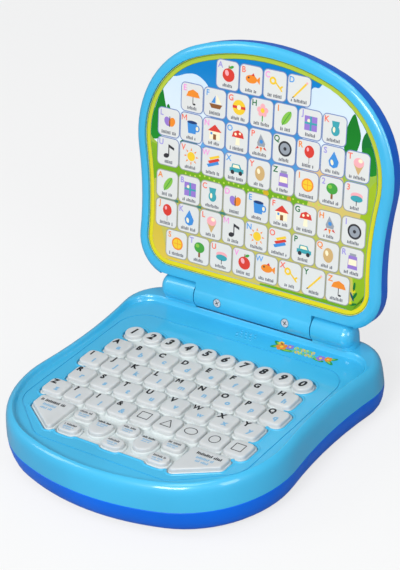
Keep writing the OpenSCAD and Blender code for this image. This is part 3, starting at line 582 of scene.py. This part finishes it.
# ---------------------------------------------------------------- lip of the opening, speaker rims
def edge_loops(obj, z):
    """Closed chains of a node's edges that lie at height z between a level and an upright face."""
    bm = bmesh.new()
    bm.from_mesh(obj.data)
    bm.transform(Matrix.Scale(1 / MM, 4))
    bmesh.ops.remove_doubles(bm, verts=bm.verts, dist=0.002)
    nearby = {}
    for e in bm.edges:
        if len(e.link_faces) != 2 or any(abs(v.co.z - z) > 0.02 for v in e.verts):
            continue
        upright, level = sorted(abs(f.normal.z) for f in e.link_faces)
        if upright < 0.2 and level > 0.9:
            a, b = (tuple(round(c, 3) for c in v.co.xy) for v in e.verts)
            nearby.setdefault(a, []).append(b)
            nearby.setdefault(b, []).append(a)
    bm.free()
    loops, left = [], set(nearby)
    while left:
        at = min(left)
        chain = [at]
        left.discard(at)
        while ahead := [p for p in nearby[at] if p in left]:
            at = ahead[0]
            left.discard(at)
            chain.append(at)
        loops.append(chain)
    return loops


def resample(loop, step):
    """A closed outline with its long sides cut into pieces of about one step."""
    out = []
    for i in range(len(loop)):
        a, b = Vector(loop[i]), Vector(loop[(i + 1) % len(loop)])
        length = (b - a).length
        if length > 1e-6:
            steps = max(1, round(length / step))
            out += [a.lerp(b, k / steps) for k in range(steps)]
    return out


def inset_loop(pts, d):
    """An anticlockwise outline moved in by d, or out if d is negative."""
    out = []
    for i, p in enumerate(pts):
        t = (pts[(i + 1) % len(pts)] - pts[i - 1]).normalized()
        out.append(Vector((p.x - t.y * d, p.y + t.x * d)))
    return out


def bead(bm, loop, profile):
    """Sweeps a profile of (distance outward, height) round a closed loop."""
    if signed_area(loop) < 0:
        loop = loop[::-1]
    pts = resample(loop, 1.2)
    loft(bm, [[Vector((p.x, p.y, z)) for p in inset_loop(pts, -d)] for d, z in profile])


def extent(loop):
    """How far an outline reaches from left to right."""
    return max(p[0] for p in loop) - min(p[0] for p in loop)


# Profiles of (distance outward, height).
LIP = [(-0.12, DECK_Z - 1.9), (-0.12, DECK_Z - 0.3), (0.0, DECK_Z + 0.14), (0.25, DECK_Z + 0.4),
       (0.65, DECK_Z + 0.52), (1.1, DECK_Z + 0.38), (1.7, DECK_Z - 0.03)]
HOLE_RIM = [(-0.02, DECK_Z - 0.4), (0.0, DECK_Z + 0.06), (0.16, DECK_Z + 0.2), (0.36, DECK_Z + 0.2),
            (0.62, DECK_Z - 0.02)]
WIDEST_HOLE = 3.0
deck_loops = edge_loops(NODES["base_top_case"], DECK_Z)
bm = bmesh.new()
bead(bm, min((loop for loop in deck_loops if extent(loop) > 2 * ROW2_EDGE), key=extent), LIP)
finish_piece("keypad_lip", bm, "base", M_SKY)
bm = bmesh.new()
for loop in deck_loops:
    if extent(loop) < WIDEST_HOLE:
        bead(bm, loop, HOLE_RIM)
finish_piece("speaker_rims", bm, "base", M_SKY)

# ---------------------------------------------------------------- the picture card, in lid coordinates
LAYER = 0.015  # how far one printed shape lies above the one before it
CARD_MIDDLE = 80.0
to_lid = lid_matrix().inverted()
on_card = [to_lid @ (v.co / MM) for v in NODES["picture_card"].data.vertices]
face_z = max(p.z for p in on_card)


def card_outline():
    """The card's outline, read off its CAD node's front face and listed anticlockwise."""
    rim = dict.fromkeys((round(p.x, 2), round(p.y, 2)) for p in on_card if p.z > face_z - 0.3)
    return sorted((Vector(k) for k in rim), key=lambda p: math.atan2(p.y - CARD_MIDDLE, p.x))


CARD = card_outline()
CARD_TOP, CARD_BOTTOM = max(p.y for p in CARD), min(p.y for p in CARD)


def half_width(w):
    """Half width of the card at height w."""
    best = 0.0
    for a, b in zip(CARD, CARD[1:] + CARD[:1]):
        if (a.y - w) * (b.y - w) <= 0 and a.y != b.y:
            best = max(best, abs(a.x + (b.x - a.x) * (w - a.y) / (b.y - a.y)))
    return best


def side_cosine(w):
    """A square inset over the level one that the card's leaning side asks for at height w."""
    a, b = half_width(w - 1), half_width(w + 1)
    if a <= 0 or b <= 0:
        return 0.35
    return max(0.25, math.cos(math.atan2(abs(b - a), 2)))


def clipped(pts, inset):
    """Keeps points inside the card's inner frame, by moving them level towards its middle."""
    low, high = CARD_BOTTOM + inset + 0.2, CARD_TOP - inset - 0.2
    out = []
    for p in resample(pts, 3.0):
        w = min(max(p.y, low), high)
        room = max(0.5, half_width(w) - inset / side_cosine(w))
        out.append((min(max(p.x, -room), room), w))
    return out


def between(c0, c1, y0, y1):
    """A colour that runs from c0 at height y0 to c1 at y1."""
    def color(x, y):
        k = min(1.0, max(0.0, (y - y0) / (y1 - y0)))
        return tuple(a + (b - a) * k for a, b in zip(c0, c1))
    return color


def curve(*pts):
    """A closed curve through a few points."""
    n, steps = len(pts), 6
    out = []
    for i in range(n):
        p0, p1, p2, p3 = (Vector(pts[(i + k) % n]) for k in (-1, 0, 1, 2))
        for k in range(steps):
            t = k / steps
            out.append(0.5 * (2 * p1 + (p2 - p0) * t + (2 * p0 - 5 * p1 + 4 * p2 - p3) * t * t
                              + (3 * p1 - p0 - 3 * p2 + p3) * t * t * t))
    return out


LIME, YELLOW, OCHRE = srgb(176, 196, 60), srgb(222, 210, 24), srgb(196, 178, 60)
DARK_GREEN, DEEP, NAVY_LEAF = srgb(72, 122, 58), srgb(8, 112, 40), srgb(30, 84, 104)
BORDER = between(YELLOW, LIME, 60, 150)
CLOUD = between(srgb(228, 236, 240), srgb(206, 224, 236), 110, 155)
TREE = between(srgb(24, 138, 34), srgb(10, 118, 28), 100, 140)
INNER = 3.85  # width of the border round the landscape
# Shapes of the landscape, each above the ones before it.
LANDSCAPE = [
    # Clouds.
    (CLOUD, curve((-98, 96), (-56, 100), (-44, 112), (-40, 128), (-41, 141), (-44, 148), (-52, 152.5),
                  (-60, 152), (-68, 149), (-80, 146), (-96, 130))),
    (CLOUD, curve((34, 118), (33, 150), (35, 156), (38, 160.5), (42, 161), (45, 164), (50, 164.5),
                  (56, 162), (64, 158), (80, 150), (98, 130), (98, 104), (60, 106))),
    # Trees at the left and at the right.
    (TREE, curve((-97, 104), (-84, 103), (-78, 108), (-74, 116), (-72.5, 124), (-74, 128.5),
                 (-75.5, 128), (-76, 126), (-77.5, 131), (-79.5, 138), (-82, 134), (-85, 126),
                 (-89, 116))),
    (TREE, curve((64, 122), (62.5, 133), (65, 142), (69, 149.5), (72, 144), (74.5, 136), (73, 128),
                 (70, 122))),
    (DEEP, curve((77, 124), (75.5, 132), (78, 139), (83, 140), (92, 130), (92, 124), (82, 122))),
    (TREE, curve((74, 110), (73, 118), (76, 127), (80, 130), (84, 128), (90, 120), (96, 106),
                 (84, 106))),
    # Open ground with a far patch of sand, the band of the meadow and a near patch of sand.
    (between(srgb(206, 190, 92), srgb(150, 184, 60), 50, 104),
     curve((-98, 10), (98, 10), (98, 113), (84, 112), (60, 112), (44, 112), (34, 108), (22, 98),
           (0, 93), (-30, 94), (-60, 97), (-80, 100), (-98, 99))),
    (srgb(222, 186, 126),
     curve((26, 98), (34, 107), (44, 111), (58, 111), (64, 104), (60, 94), (44, 90), (28, 92))),
    (between(srgb(98, 162, 18), srgb(128, 174, 24), 74, 98),
     curve((-98, 99.5), (-83, 99.5), (-72, 97), (-60, 90), (-30, 88.5), (10, 87.5), (30, 90), (44, 90),
           (46, 80), (10, 81), (-30, 79.5), (-66, 80), (-98, 74))),
    (srgb(212, 190, 104), curve((42, 91), (60, 93), (76, 92), (84, 86), (70, 78), (40, 78))),
    # Grass at the right and at the bottom, sand at the lower left.
    (between(srgb(134, 178, 20), srgb(158, 186, 26), 20, 90),
     curve((98, 10), (98, 112), (88, 110), (80, 96), (76, 70), (74, 50), (76, 30), (70, 10))),
    (srgb(108, 164, 16), curve((98, 10), (98, 34), (74, 25), (40, 22.6), (8, 22), (4, 20), (-2, 10))),
    (between(srgb(222, 192, 70), srgb(196, 178, 48), 20, 66),
     curve((-98, 10), (-98, 66), (-84, 60), (-77, 40), (-70, 27), (-40, 20), (-2, 18), (0, 10))),
    # A low hedge and a bush.
    (srgb(60, 128, 110), [(-24, 62), (-80, 62), (-80, 64), (-24, 64)]),
    (DEEP, curve((-64, 104.5), (-60, 108), (-56, 109), (-52, 108), (-49, 104.5), (-55, 103))),
]

card = Ink()
card.flat(inset_loop(CARD, 0.05), face_z + LAYER, BORDER)
card.flat(inset_loop(CARD, 0.5), face_z + 2 * LAYER, DARK_GREEN)
card.flat(inset_loop(CARD, 0.85), face_z + 3 * LAYER, BORDER)
card.flat(inset_loop(CARD, 3.5), face_z + 4 * LAYER, between(OCHRE, DARK_GREEN, 40, 110))
z = face_z + 5 * LAYER
card.flat(inset_loop(CARD, INNER), z, between(srgb(120, 182, 232), srgb(0, 124, 194), 108, 150))
z += LAYER
for color, pts in LANDSCAPE:
    card.flat(clipped(pts, INNER + 0.1), z, color)
    z += 0.7 * LAYER
# A line of pale dots runs across the meadow.
for k in range(-14, 15):
    card.flat(disc(k * 3.9 - 4, 84.4 + math.sin(k * 1.1), 0.7, 0.7, count=10), z, srgb(190, 216, 80))
# Round bushes in ochre and green.
for x, y, r, color in [(6, 84.6, 2.2, (206, 168, 30)), (24, 84.4, 1.8, (200, 150, 40)),
                       (-62, 63, 2, (160, 156, 40)), (-43, 63, 2, (166, 160, 44)),
                       (72, 96, 1.6, (150, 186, 40))]:
    card.flat(disc(x, y, r, r, count=14), z + 0.4 * LAYER, srgb(*color))
# A small plant fills the lower right corner.
for x, y, rx, ry, turn, color in [(76.6, 37, 3.2, 0.9, 84, DEEP), (77.4, 31, 3.0, 0.9, 60, DEEP),
                                  (75.4, 30, 3.2, 0.8, 118, NAVY_LEAF), (76.6, 25, 2.6, 0.8, 20, DEEP),
                                  (76.4, 34, 1.4, 1.1, 0, YELLOW), (74.6, 25.4, 1.2, 1.0, 0, YELLOW)]:
    card.flat(disc(x, y, rx, ry, turn, count=14), z + 0.4 * LAYER, color)
z += LAYER

WHITE_TILE = srgb(220, 220, 216)
RED, ORANGE, GOLD = srgb(214, 60, 48), srgb(238, 138, 40), srgb(240, 200, 48)
GREEN, LEAF, TEAL = srgb(70, 158, 62), srgb(130, 190, 70), srgb(60, 160, 170)
BLUE, NAVY, PLUM = srgb(64, 140, 210), srgb(34, 60, 110), srgb(150, 120, 200)
BROWN, TAN, PINK = srgb(140, 88, 44), srgb(206, 170, 112), srgb(242, 170, 176)
GREY, CREAM, DARK = srgb(150, 156, 164), srgb(248, 236, 200), srgb(52, 50, 54)


def oval(color, x, y, rx, ry, turn=0):
    return color, disc(x, y, rx, ry, turn)


def oblong(color, x0, y0, x1, y1):
    return color, [(x0, y0), (x1, y0), (x1, y1), (x0, y1)]


def shape(color, *pts):
    return color, pts


def turned(x, y, degrees):
    c, s = math.cos(math.radians(degrees)), math.sin(math.radians(degrees))
    return x * c - y * s, x * s + y * c


# Each picture is drawn in a 10 mm square about its middle.
PICTURES = {
    "apple": [oval(RED, 0, -0.4, 3.6, 3.4), oval(PINK, -1, 0.6, 1.1, 1.5, 20),
        shape(BROWN, (-0.2, 2.6), (0.3, 2.6), (0.5, 4.4), (0, 4.4)),
        oval(GREEN, 1.7, 3.8, 1.4, 0.7, 25)],
    "beach ball": [oval(GOLD, 0, 0, 3.8, 3.8), oblong(RED, -3.8, -0.7, 3.8, 0.7),
        oval(CREAM, 0, 0, 1.2, 1.2)],
    "mug": [shape(BLUE, (-3, 2.4), (3, 2.4), (2.3, -3.4), (-2.3, -3.4)),
        oval(BLUE, 3.2, -0.4, 1.5, 1.8), oval(CREAM, 3.1, -0.4, 0.8, 1.1), oval(NAVY, 0, 2.4, 3, 0.8)],
    "drop": [shape(BLUE, (0, 4.4), (2.9, -0.6), (2.2, -3), (0, -4), (-2.2, -3), (-2.9, -0.6)),
        oval(CREAM, -0.9, -1.2, 0.8, 1.4, 15)],
    "egg": [oval(TAN, 0, 0, 2.9, 3.8), oval(CREAM, -0.8, 1, 0.9, 1.4, 10)],
    "fish": [oval(ORANGE, -0.4, 0, 3.4, 2.1), shape(ORANGE, (2.4, 0), (4.6, 2), (4.6, -2)),
        oval(DARK, -2, 0.6, 0.5, 0.5), shape(RED, (-0.6, 1.8), (1.6, 1.8), (0.8, 3.2))],
    "flower": [oblong(GREEN, -0.3, -4.4, 0.3, 0), oval(PINK, 0, 3.2, 1.4, 1.4),
        oval(PINK, 1.9, 1.4, 1.4, 1.4), oval(PINK, -1.9, 1.4, 1.4, 1.4),
        oval(PINK, 1.1, -0.6, 1.3, 1.3), oval(PINK, -1.1, -0.6, 1.3, 1.3),
        oval(GOLD, 0, 1.1, 1.2, 1.2)],
    "house": [oblong(CREAM, -3.2, -3.8, 3.2, 0.4), shape(RED, (-4.2, 0.4), (4.2, 0.4), (0, 4)),
        oblong(BROWN, -0.9, -3.8, 0.9, -1), oblong(BLUE, -2.6, -1.4, -1.4, -0.2)],
    "ice cream": [shape(TAN, (-2.8, 0.6), (2.8, 0.6), (0, -4.6)), oval(PINK, 0, 1.6, 2.9, 2.4),
        oval(CREAM, 0.9, 2.6, 1.2, 1)],
    "jar": [shape(PLUM, (-2.4, 3), (2.4, 3), (2.8, -3.8), (-2.8, -3.8)),
        oblong(GREY, -1.8, 3, 1.8, 4.2),
        shape(CREAM, (-2.2, 1.2), (2.2, 1.2), (2.4, -1.8), (-2.4, -1.8))],
    "key": [oval(GOLD, -1.8, 1.6, 2, 2), oval(WHITE_TILE, -1.8, 1.6, 0.9, 0.9),
        shape(GOLD, (-0.7, 0.9), (-0.1, 1.5), (4, -2.6), (3.4, -3.2)),
        shape(GOLD, (2.4, -1), (3.6, 0), (4.2, -0.7), (3, -1.8))],
    "leaf": [oval(LEAF, 0, 0, 1.9, 4.2, -35),
        shape(GREEN, (-2.6, -3.7), (-2.2, -4), (2.6, 3.4), (2.3, 3.7))],
    "mushroom": [shape(RED, (-3.6, 0), (3.6, 0), (2.8, 2.6), (0, 3.8), (-2.8, 2.6)),
        shape(CREAM, (-1, 0), (1, 0), (1.3, -3.8), (-1.3, -3.8)), oval(CREAM, -1.4, 1.6, 0.7, 0.7),
        oval(CREAM, 1.2, 2.2, 0.7, 0.6)],
    "note": [oval(DARK, -1.6, -2.6, 1.7, 1.2, 15), oblong(DARK, -0.4, -2.6, 0.2, 3.4),
        shape(DARK, (-0.4, 3.6), (3.2, 2.2), (3.2, 0.8), (-0.4, 2.2))],
    "orange": [oval(ORANGE, 0, 0, 3.5, 3.4), oval(GOLD, 0, 0, 2.7, 2.6),
        oblong(ORANGE, -0.1, -2.6, 0.2, 2.6), oblong(ORANGE, -2.6, -0.1, 2.6, 0.2)],
    "pencil": [shape(GOLD, (-3.9, -3.9), (-3.1, -4.3), (3.8, 3), (3, 3.6)),
        shape(DARK, (-3.9, -3.9), (-3.1, -4.3), (-4.5, -4.9)),
        shape(PINK, (3, 3.6), (3.8, 3), (4.5, 3.8), (3.7, 4.4))],
    "present": [oblong(PLUM, -3.6, -3.6, 3.6, 3.6), oval(CREAM, -1.2, 1.2, 0.9, 0.9),
        oblong(TEAL, -3.6, -0.5, 3.6, 0.5), oblong(TEAL, -0.5, -3.6, 0.5, 3.6)],
    "rocket": [shape(GREY, (-0.5, 4.6), (2.4, 0), (2, -1.6), (-2, -1.6), (-2.4, 0)),
        shape(RED, (-2, -1.6), (-3.4, -3.4), (-1.2, -2.6)),
        shape(RED, (2, -1.6), (3.4, -3.4), (1.2, -2.6)), oval(BLUE, 0, 0.8, 1, 1),
        shape(ORANGE, (-0.8, -2), (0.8, -2), (0, -4.6))],
    "sun": [oval(GOLD, 0, 0, 2.4, 2.4)] + [
        shape(ORANGE, *(turned(x, y, 45 * k) for x, y in [(3, 0.5), (4.6, 0), (3, -0.5)]))
        for k in range(8)],
    "tree": [oblong(BROWN, -0.6, -4, 0.6, -0.6), oval(GREEN, 0, 1.2, 3.2, 2.8),
        oval(LEAF, -1.2, 2, 1.2, 1)],
    "umbrella": [shape(ORANGE, (-4.2, 0), (4.2, 0), (3, 2.6), (0, 3.9), (-3, 2.6)),
        oblong(DARK, -0.2, -3.4, 0.2, 0), oval(DARK, 0.8, -3.6, 0.9, 0.5)],
    "vase": [shape(TEAL, (-2.2, 3.8), (2.2, 3.8), (1.4, -0.4), (-1.4, -0.4)),
        oval(TEAL, 0, -0.8, 2.4, 2.6), oval(CREAM, -0.8, -0.4, 0.7, 1.4)],
    "wheel": [oval(DARK, 0, 0, 3.9, 3.9), oval(GREY, 0, 0, 2.9, 2.9), oval(DARK, 0, 0, 0.9, 0.9)],
    "books": [shape(BLUE, (-4.2, -1.8), (-3.2, -3.2), (3.4, -0.6), (2.6, 0.8)),
        shape(RED, (-3.6, 0), (-2.6, -1.2), (3.6, 1.2), (2.8, 2.4)),
        shape(GOLD, (-3, 1.8), (-2, 0.8), (3.6, 3), (2.8, 4))],
    "spinning top": [oval(PINK, 0, 0.6, 3.4, 1.6), oval(TEAL, 0, -0.9, 3.4, 1.6),
        oblong(DARK, -0.2, -4.4, 0.2, -2)],
    "boat": [shape(BROWN, (-4, -1), (4, -1), (2.6, -3.2), (-2.6, -3.2)),
        shape(CREAM, (0.3, -0.6), (3.4, -0.6), (0.3, 4.2)),
        shape(BLUE, (-0.3, -0.6), (-2.8, -0.6), (-0.3, 3.4))],
    "butterfly": [oval(PLUM, -1.4, 0, 1.9, 2.5, 25), oval(ORANGE, 1.4, 0, 1.9, 2.5, -25),
        shape(DARK, (-0.3, -2.6), (0.3, -2.6), (0.2, 2.8), (-0.2, 2.8))],
    "balloon": [oval(RED, 0, 1.4, 2.8, 3.1), shape(RED, (-0.5, -1.8), (0.5, -1.8), (0, -1.1)),
        oblong(DARK, -0.1, -4.6, 0.1, -1.7), oval(PINK, -0.9, 2.4, 0.7, 1)],
    "car": [oblong(TEAL, -4.2, -2.4, 4.2, -0.4),
        shape(TEAL, (-2.6, 1.8), (1.8, 1.8), (3, -0.4), (-3.2, -0.4)),
        shape(CREAM, (-2, 1.3), (1.2, 1.3), (2, -0.2), (-2.4, -0.2)), oval(DARK, -2.4, -2.6, 1.1, 1.1),
        oval(DARK, 2.4, -2.6, 1.1, 1.1)],
}
PICTURE_NAMES = list(PICTURES)
PICTURE_K, PICTURE_X, PICTURE_Y = 1.32, 0.7, 0.6

# The tiles: heights of the rows with their counts, from the top.
TILE_ROWS = [(156.9, 4), (136.6, 7), (116.3, 9), (96.0, 9), (73.1, 9), (52.8, 9), (32.5, 8)]
UPPER_ROWS = 4
UPPER_SIGNS, LOWER_SIGNS = "ABCDEFGHIJKLMNOPQRSTUVWXYZ123", "ABCDEFGHIJKLMNOPQRSTUVWXYZ"
UPPER_PICTURE, LOWER_PICTURE, PICTURE_STEP = 0, 11, 5
TILE_PITCH, TILE_W, TILE_H, TILE_R = 18.4, 17.0, 18.7, 2.9
TILE_EDGE = 0.62
TILE_LINE = between(srgb(156, 156, 146), srgb(116, 136, 184), 84, 108)
TINTS = [srgb(160, 150, 216), srgb(20, 112, 62), srgb(84, 158, 222), srgb(240, 120, 100),
         srgb(238, 140, 60), srgb(240, 110, 92), srgb(240, 150, 214)]
SIGN_X, SIGN_Y, SIGN_H, SIGN_SPREAD = -5.8, 6.2, 3.9, 0.025
WORD = srgb(108, 110, 116)
WORD_Y, WORD_H, WORD_PITCH = -6.9, 2.3, 1.1
SHORTEST_WORD, WORD_STEP = 8.0, 1.5


def add_tile(x, w, number, tint, sign, picture, z):
    """A white tile with a letter, a picture and ticks in the place of a word."""
    card.flat(blunt_loop(rounded_rect(TILE_W + 2 * TILE_EDGE, TILE_H + 2 * TILE_EDGE,
                                      TILE_R + TILE_EDGE, x, w)), z, TILE_LINE)
    card.flat(blunt_loop(rounded_rect(TILE_W, TILE_H, TILE_R, x, w)), z + LAYER, WHITE_TILE)
    z += 2 * LAYER
    card.glyph(sign, x + SIGN_X, w + SIGN_Y, SIGN_H, z, tint, spread=SIGN_SPREAD)
    for k, (color, pts) in enumerate(picture, start=1):
        card.flat([(x + PICTURE_X + PICTURE_K * px, w + PICTURE_Y + PICTURE_K * py) for px, py in pts],
                  z + k * LAYER * 0.6, color)
    card.ticks(x, w + WORD_Y, SHORTEST_WORD + (number * 5) % 4 * WORD_STEP, WORD_H, z, WORD,
               WORD_PITCH, number)


index = 0
for row, (w, count) in enumerate(TILE_ROWS):
    for i in range(count):
        if row < UPPER_ROWS:
            order, signs, first = index, UPPER_SIGNS, UPPER_PICTURE
        else:
            order, signs, first = index - len(UPPER_SIGNS), LOWER_SIGNS, LOWER_PICTURE
        name = PICTURE_NAMES[(order * PICTURE_STEP + first) % len(PICTURES)]
        add_tile((i - (count - 1) / 2) * TILE_PITCH, w, index, TINTS[(order * 3 + row) % len(TINTS)],
                 signs[order], PICTURES[name], z + LAYER)
        index += 1
finish_piece("card_print", card.bm, "lid", M_CARD, matrix=lid_matrix(), smooth=False)

# ---------------------------------------------------------------- sticker badge on the deck
BADGE_X, BADGE_Y, BADGE_Z = 45.5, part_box("base_top_case")[1].y / MM - 28.9, DECK_Z + 0.05
BADGE_LEAF, BADGE_LEAF_2 = srgb(46, 150, 70), srgb(150, 196, 60)
BADGE_BLOBS = (srgb(196, 214, 60), srgb(120, 196, 110), srgb(226, 196, 70))


class Badge(Ink):
    def spot(self, x, y, rx, ry, rise, color, turn=0.0, count=14):
        """A disc or an oval at (x, y) from the badge's middle."""
        self.flat(disc(BADGE_X + x, BADGE_Y + y, rx, ry, turn, count), BADGE_Z + rise, color)


badge = Badge()
for x, y, rx, ry, turn in [(-20, -1.4, 4.6, 1.8, 30), (-21, 1.6, 4.0, 1.5, -30),
                           (-11.5, -3.0, 5.0, 1.5, 8), (20.5, -1.8, 4.6, 1.6, -28),
                           (13, -3.0, 4.6, 1.4, -6), (21.5, 1.6, 3.6, 1.4, 34)]:
    badge.spot(x, y, rx, ry, 0.0, BADGE_LEAF, turn, 20)
    badge.spot(x * 0.98, y, rx * 0.6, ry * 0.5, 0.01, BADGE_LEAF_2, turn, 20)
# Flowers of five petals.
for x, y, rad, color in [(-16.8, -0.6, 3.3, ORANGE), (-11.6, 1.6, 2.3, PLUM), (-19.4, 3.0, 1.7, GOLD),
                         (13.6, -0.6, 2.6, PLUM), (18.6, 0.6, 2.3, ORANGE)]:
    for a in range(5):
        t = a * 2 * math.pi / 5 + x
        badge.spot(x + rad * 0.68 * math.cos(t), y + rad * 0.68 * math.sin(t), rad * 0.55, rad * 0.55,
                   0.02 + 0.003 * a, color)
    badge.spot(x, y, rad * 0.4, rad * 0.4, 0.04, GOLD if color != GOLD else RED, count=12)
# Two rows of coloured blobs in the place of words.
for y, length in ((2.2, 6), (-1.6, 7)):
    for k in range(length):
        x = -7.0 + k * 2.6
        badge.spot(x, y, 1.3, 1.75, 0.02, BADGE_BLOBS[(k + length) % 3], 12 * (k % 3 - 1))
        badge.spot(x, y, 0.45, 0.75, 0.03, SKY, count=10)
finish_piece("deck_sticker", badge.bm, "base", M_LEGEND, smooth=False)

# ---------------------------------------------------------------- dark crosses on the hinge screws: painted shade standing in for their cross recesses
SCREW_X, HEAD_OUT = 27.4, 9.13
CROSS_L, CROSS_W = 3.4, 0.55
bm = bmesh.new()
for side in (-1, 1):
    for turn in (45, 135):
        arm = [turned(x, y, turn + 15 * side)
               for x, y in bar(-CROSS_L / 2, 0, CROSS_L / 2, 0, CROSS_W)]
        bm.faces.new([bm.verts.new((side * SCREW_X + x, y, HEAD_OUT)) for x, y in arm])
# The crosses are flat faces of dark plastic on the heads, not cut into them: painted shade where each cross recess
# would be dark inside.
finish_piece("screw_cross_painted_shade", bm, "lid", M_DARK, matrix=lid_matrix(), smooth=False)

# ---------------------------------------------------------------- camera
# Its place in mm, its angles and its lens in pixels come from a fit to the photograph.
CAM_AT = Vector((668.6, FRONT_Y - 698.2, 712.1))
CAM_AZ, CAM_EL, CAM_ROLL = math.radians(38.73), math.radians(29.977), math.radians(-5.70)
LENS_PX, PHOTO_W = 1946.8, 400
ahead = Vector((-math.sin(CAM_AZ) * math.cos(CAM_EL), math.cos(CAM_AZ) * math.cos(CAM_EL),
                -math.sin(CAM_EL)))
level = Vector((math.cos(CAM_AZ), math.sin(CAM_AZ), 0))
right = Matrix.Rotation(-CAM_ROLL, 3, ahead) @ level
up = right.cross(ahead)
cam_data = bpy.data.cameras.new("camera")
cam = bpy.data.objects.new("camera", cam_data)
bpy.context.scene.collection.objects.link(cam)
cam.matrix_world = Matrix((
    (right.x, up.x, -ahead.x, CAM_AT.x * MM), (right.y, up.y, -ahead.y, CAM_AT.y * MM),
    (right.z, up.z, -ahead.z, CAM_AT.z * MM), (0, 0, 0, 1)))
cam_data.sensor_fit = "HORIZONTAL"
cam_data.sensor_width = 36.0
cam_data.lens = LENS_PX / PHOTO_W * cam_data.sensor_width
cam_data.clip_start = 0.05
bpy.context.scene.camera = cam

# ---------------------------------------------------------------- floor
FLOOR_BOUNCE = (0.30, 0.33, 0.38, 1.0)  # the floor's colour for light that bounces off it
FLOOR_GLOW = 0.8  # share of the floor's look that the camera takes from a flat pale tone
FLOOR_R = 4.0
floor_mesh = bpy.data.meshes.new("floor")
corners = [(sx * FLOOR_R, sy * FLOOR_R, 0) for sx, sy in ((-1, -1), (1, -1), (1, 1), (-1, 1))]
floor_mesh.from_pydata(corners, [], [(0, 1, 2, 3)])
floor = bpy.data.objects.new("floor", floor_mesh)
bpy.context.scene.collection.objects.link(floor)
pale = Shader("pale_floor", roughness=0.9, specular_ior_level=0.0)
seen_by_camera = pale.add("ShaderNodeLightPath").outputs["Is Camera Ray"]
tone = pale.add("ShaderNodeMix", {
    "Factor": seen_by_camera, 6: FLOOR_BOUNCE,
    7: pale.ramp(pale.noise(3.0, 3.0), srgb(243, 243, 243), srgb(247, 247, 247))}, data_type="RGBA")
pale.link(tone.outputs[2], "Base Color")
glow = pale.add("ShaderNodeEmission", {"Color": srgb(247, 247, 247), "Strength": 1.0})
share = pale.add("ShaderNodeMath", {0: seen_by_camera, 1: FLOOR_GLOW}, operation="MULTIPLY")
blend = pale.add("ShaderNodeMixShader", {0: share.outputs[0], 1: pale.bsdf.outputs[0],
                                         2: glow.outputs[0]})
pale.tree.links.new(blend.outputs[0], pale.tree.nodes["Material Output"].inputs["Surface"])
floor_mesh.materials.append(pale.mat)

# ---------------------------------------------------------------- world and lamps
world = bpy.data.worlds.new("studio")
bpy.context.scene.world = world
world.use_nodes = True
nodes, links = world.node_tree.nodes, world.node_tree.links
light = nodes["Background"]
light.inputs["Color"].default_value = (0.90, 0.95, 1.0, 1)
light.inputs["Strength"].default_value = 0.36
backdrop = nodes.new("ShaderNodeBackground")
backdrop.inputs["Color"].default_value = srgb(243, 244, 245)
either = nodes.new("ShaderNodeMixShader")
links.new(nodes.new("ShaderNodeLightPath").outputs["Is Camera Ray"], either.inputs["Fac"])
links.new(light.outputs[0], either.inputs[1])
links.new(backdrop.outputs[0], either.inputs[2])
links.new(either.outputs[0], nodes["World Output"].inputs["Surface"])


def lamp(name, at, target, size, watts):
    """A rectangular area lamp at one point, turned towards another."""
    data = bpy.data.lights.new(name, "AREA")
    data.shape = "RECTANGLE"
    data.size, data.size_y = size
    data.energy = watts
    obj = bpy.data.objects.new(name, data)
    bpy.context.scene.collection.objects.link(obj)
    at, target = Vector(at), Vector(target)
    aim = (target - at).to_track_quat("-Z", "Y").to_matrix().to_4x4()
    obj.matrix_world = Matrix.Translation(at) @ aim


lamp("front_softbox", (0.34, -1.62, 1.2), (0, 0, 0.08), (0.9, 0.6), 28)
lamp("right_softbox", (1.5, -0.6, 0.9), (0.08, 0, 0.08), (0.5, 0.9), 7)
lamp("left_softbox", (-1.4, -0.9, 1.2), (0, 0, 0.08), (0.5, 0.9), 6)
lamp("top_softbox", (0.1, -0.5, 1.9), (0, 0.02, 0.05), (0.8, 0.8), 7)

bpy.context.scene.view_settings.view_transform = "Standard"
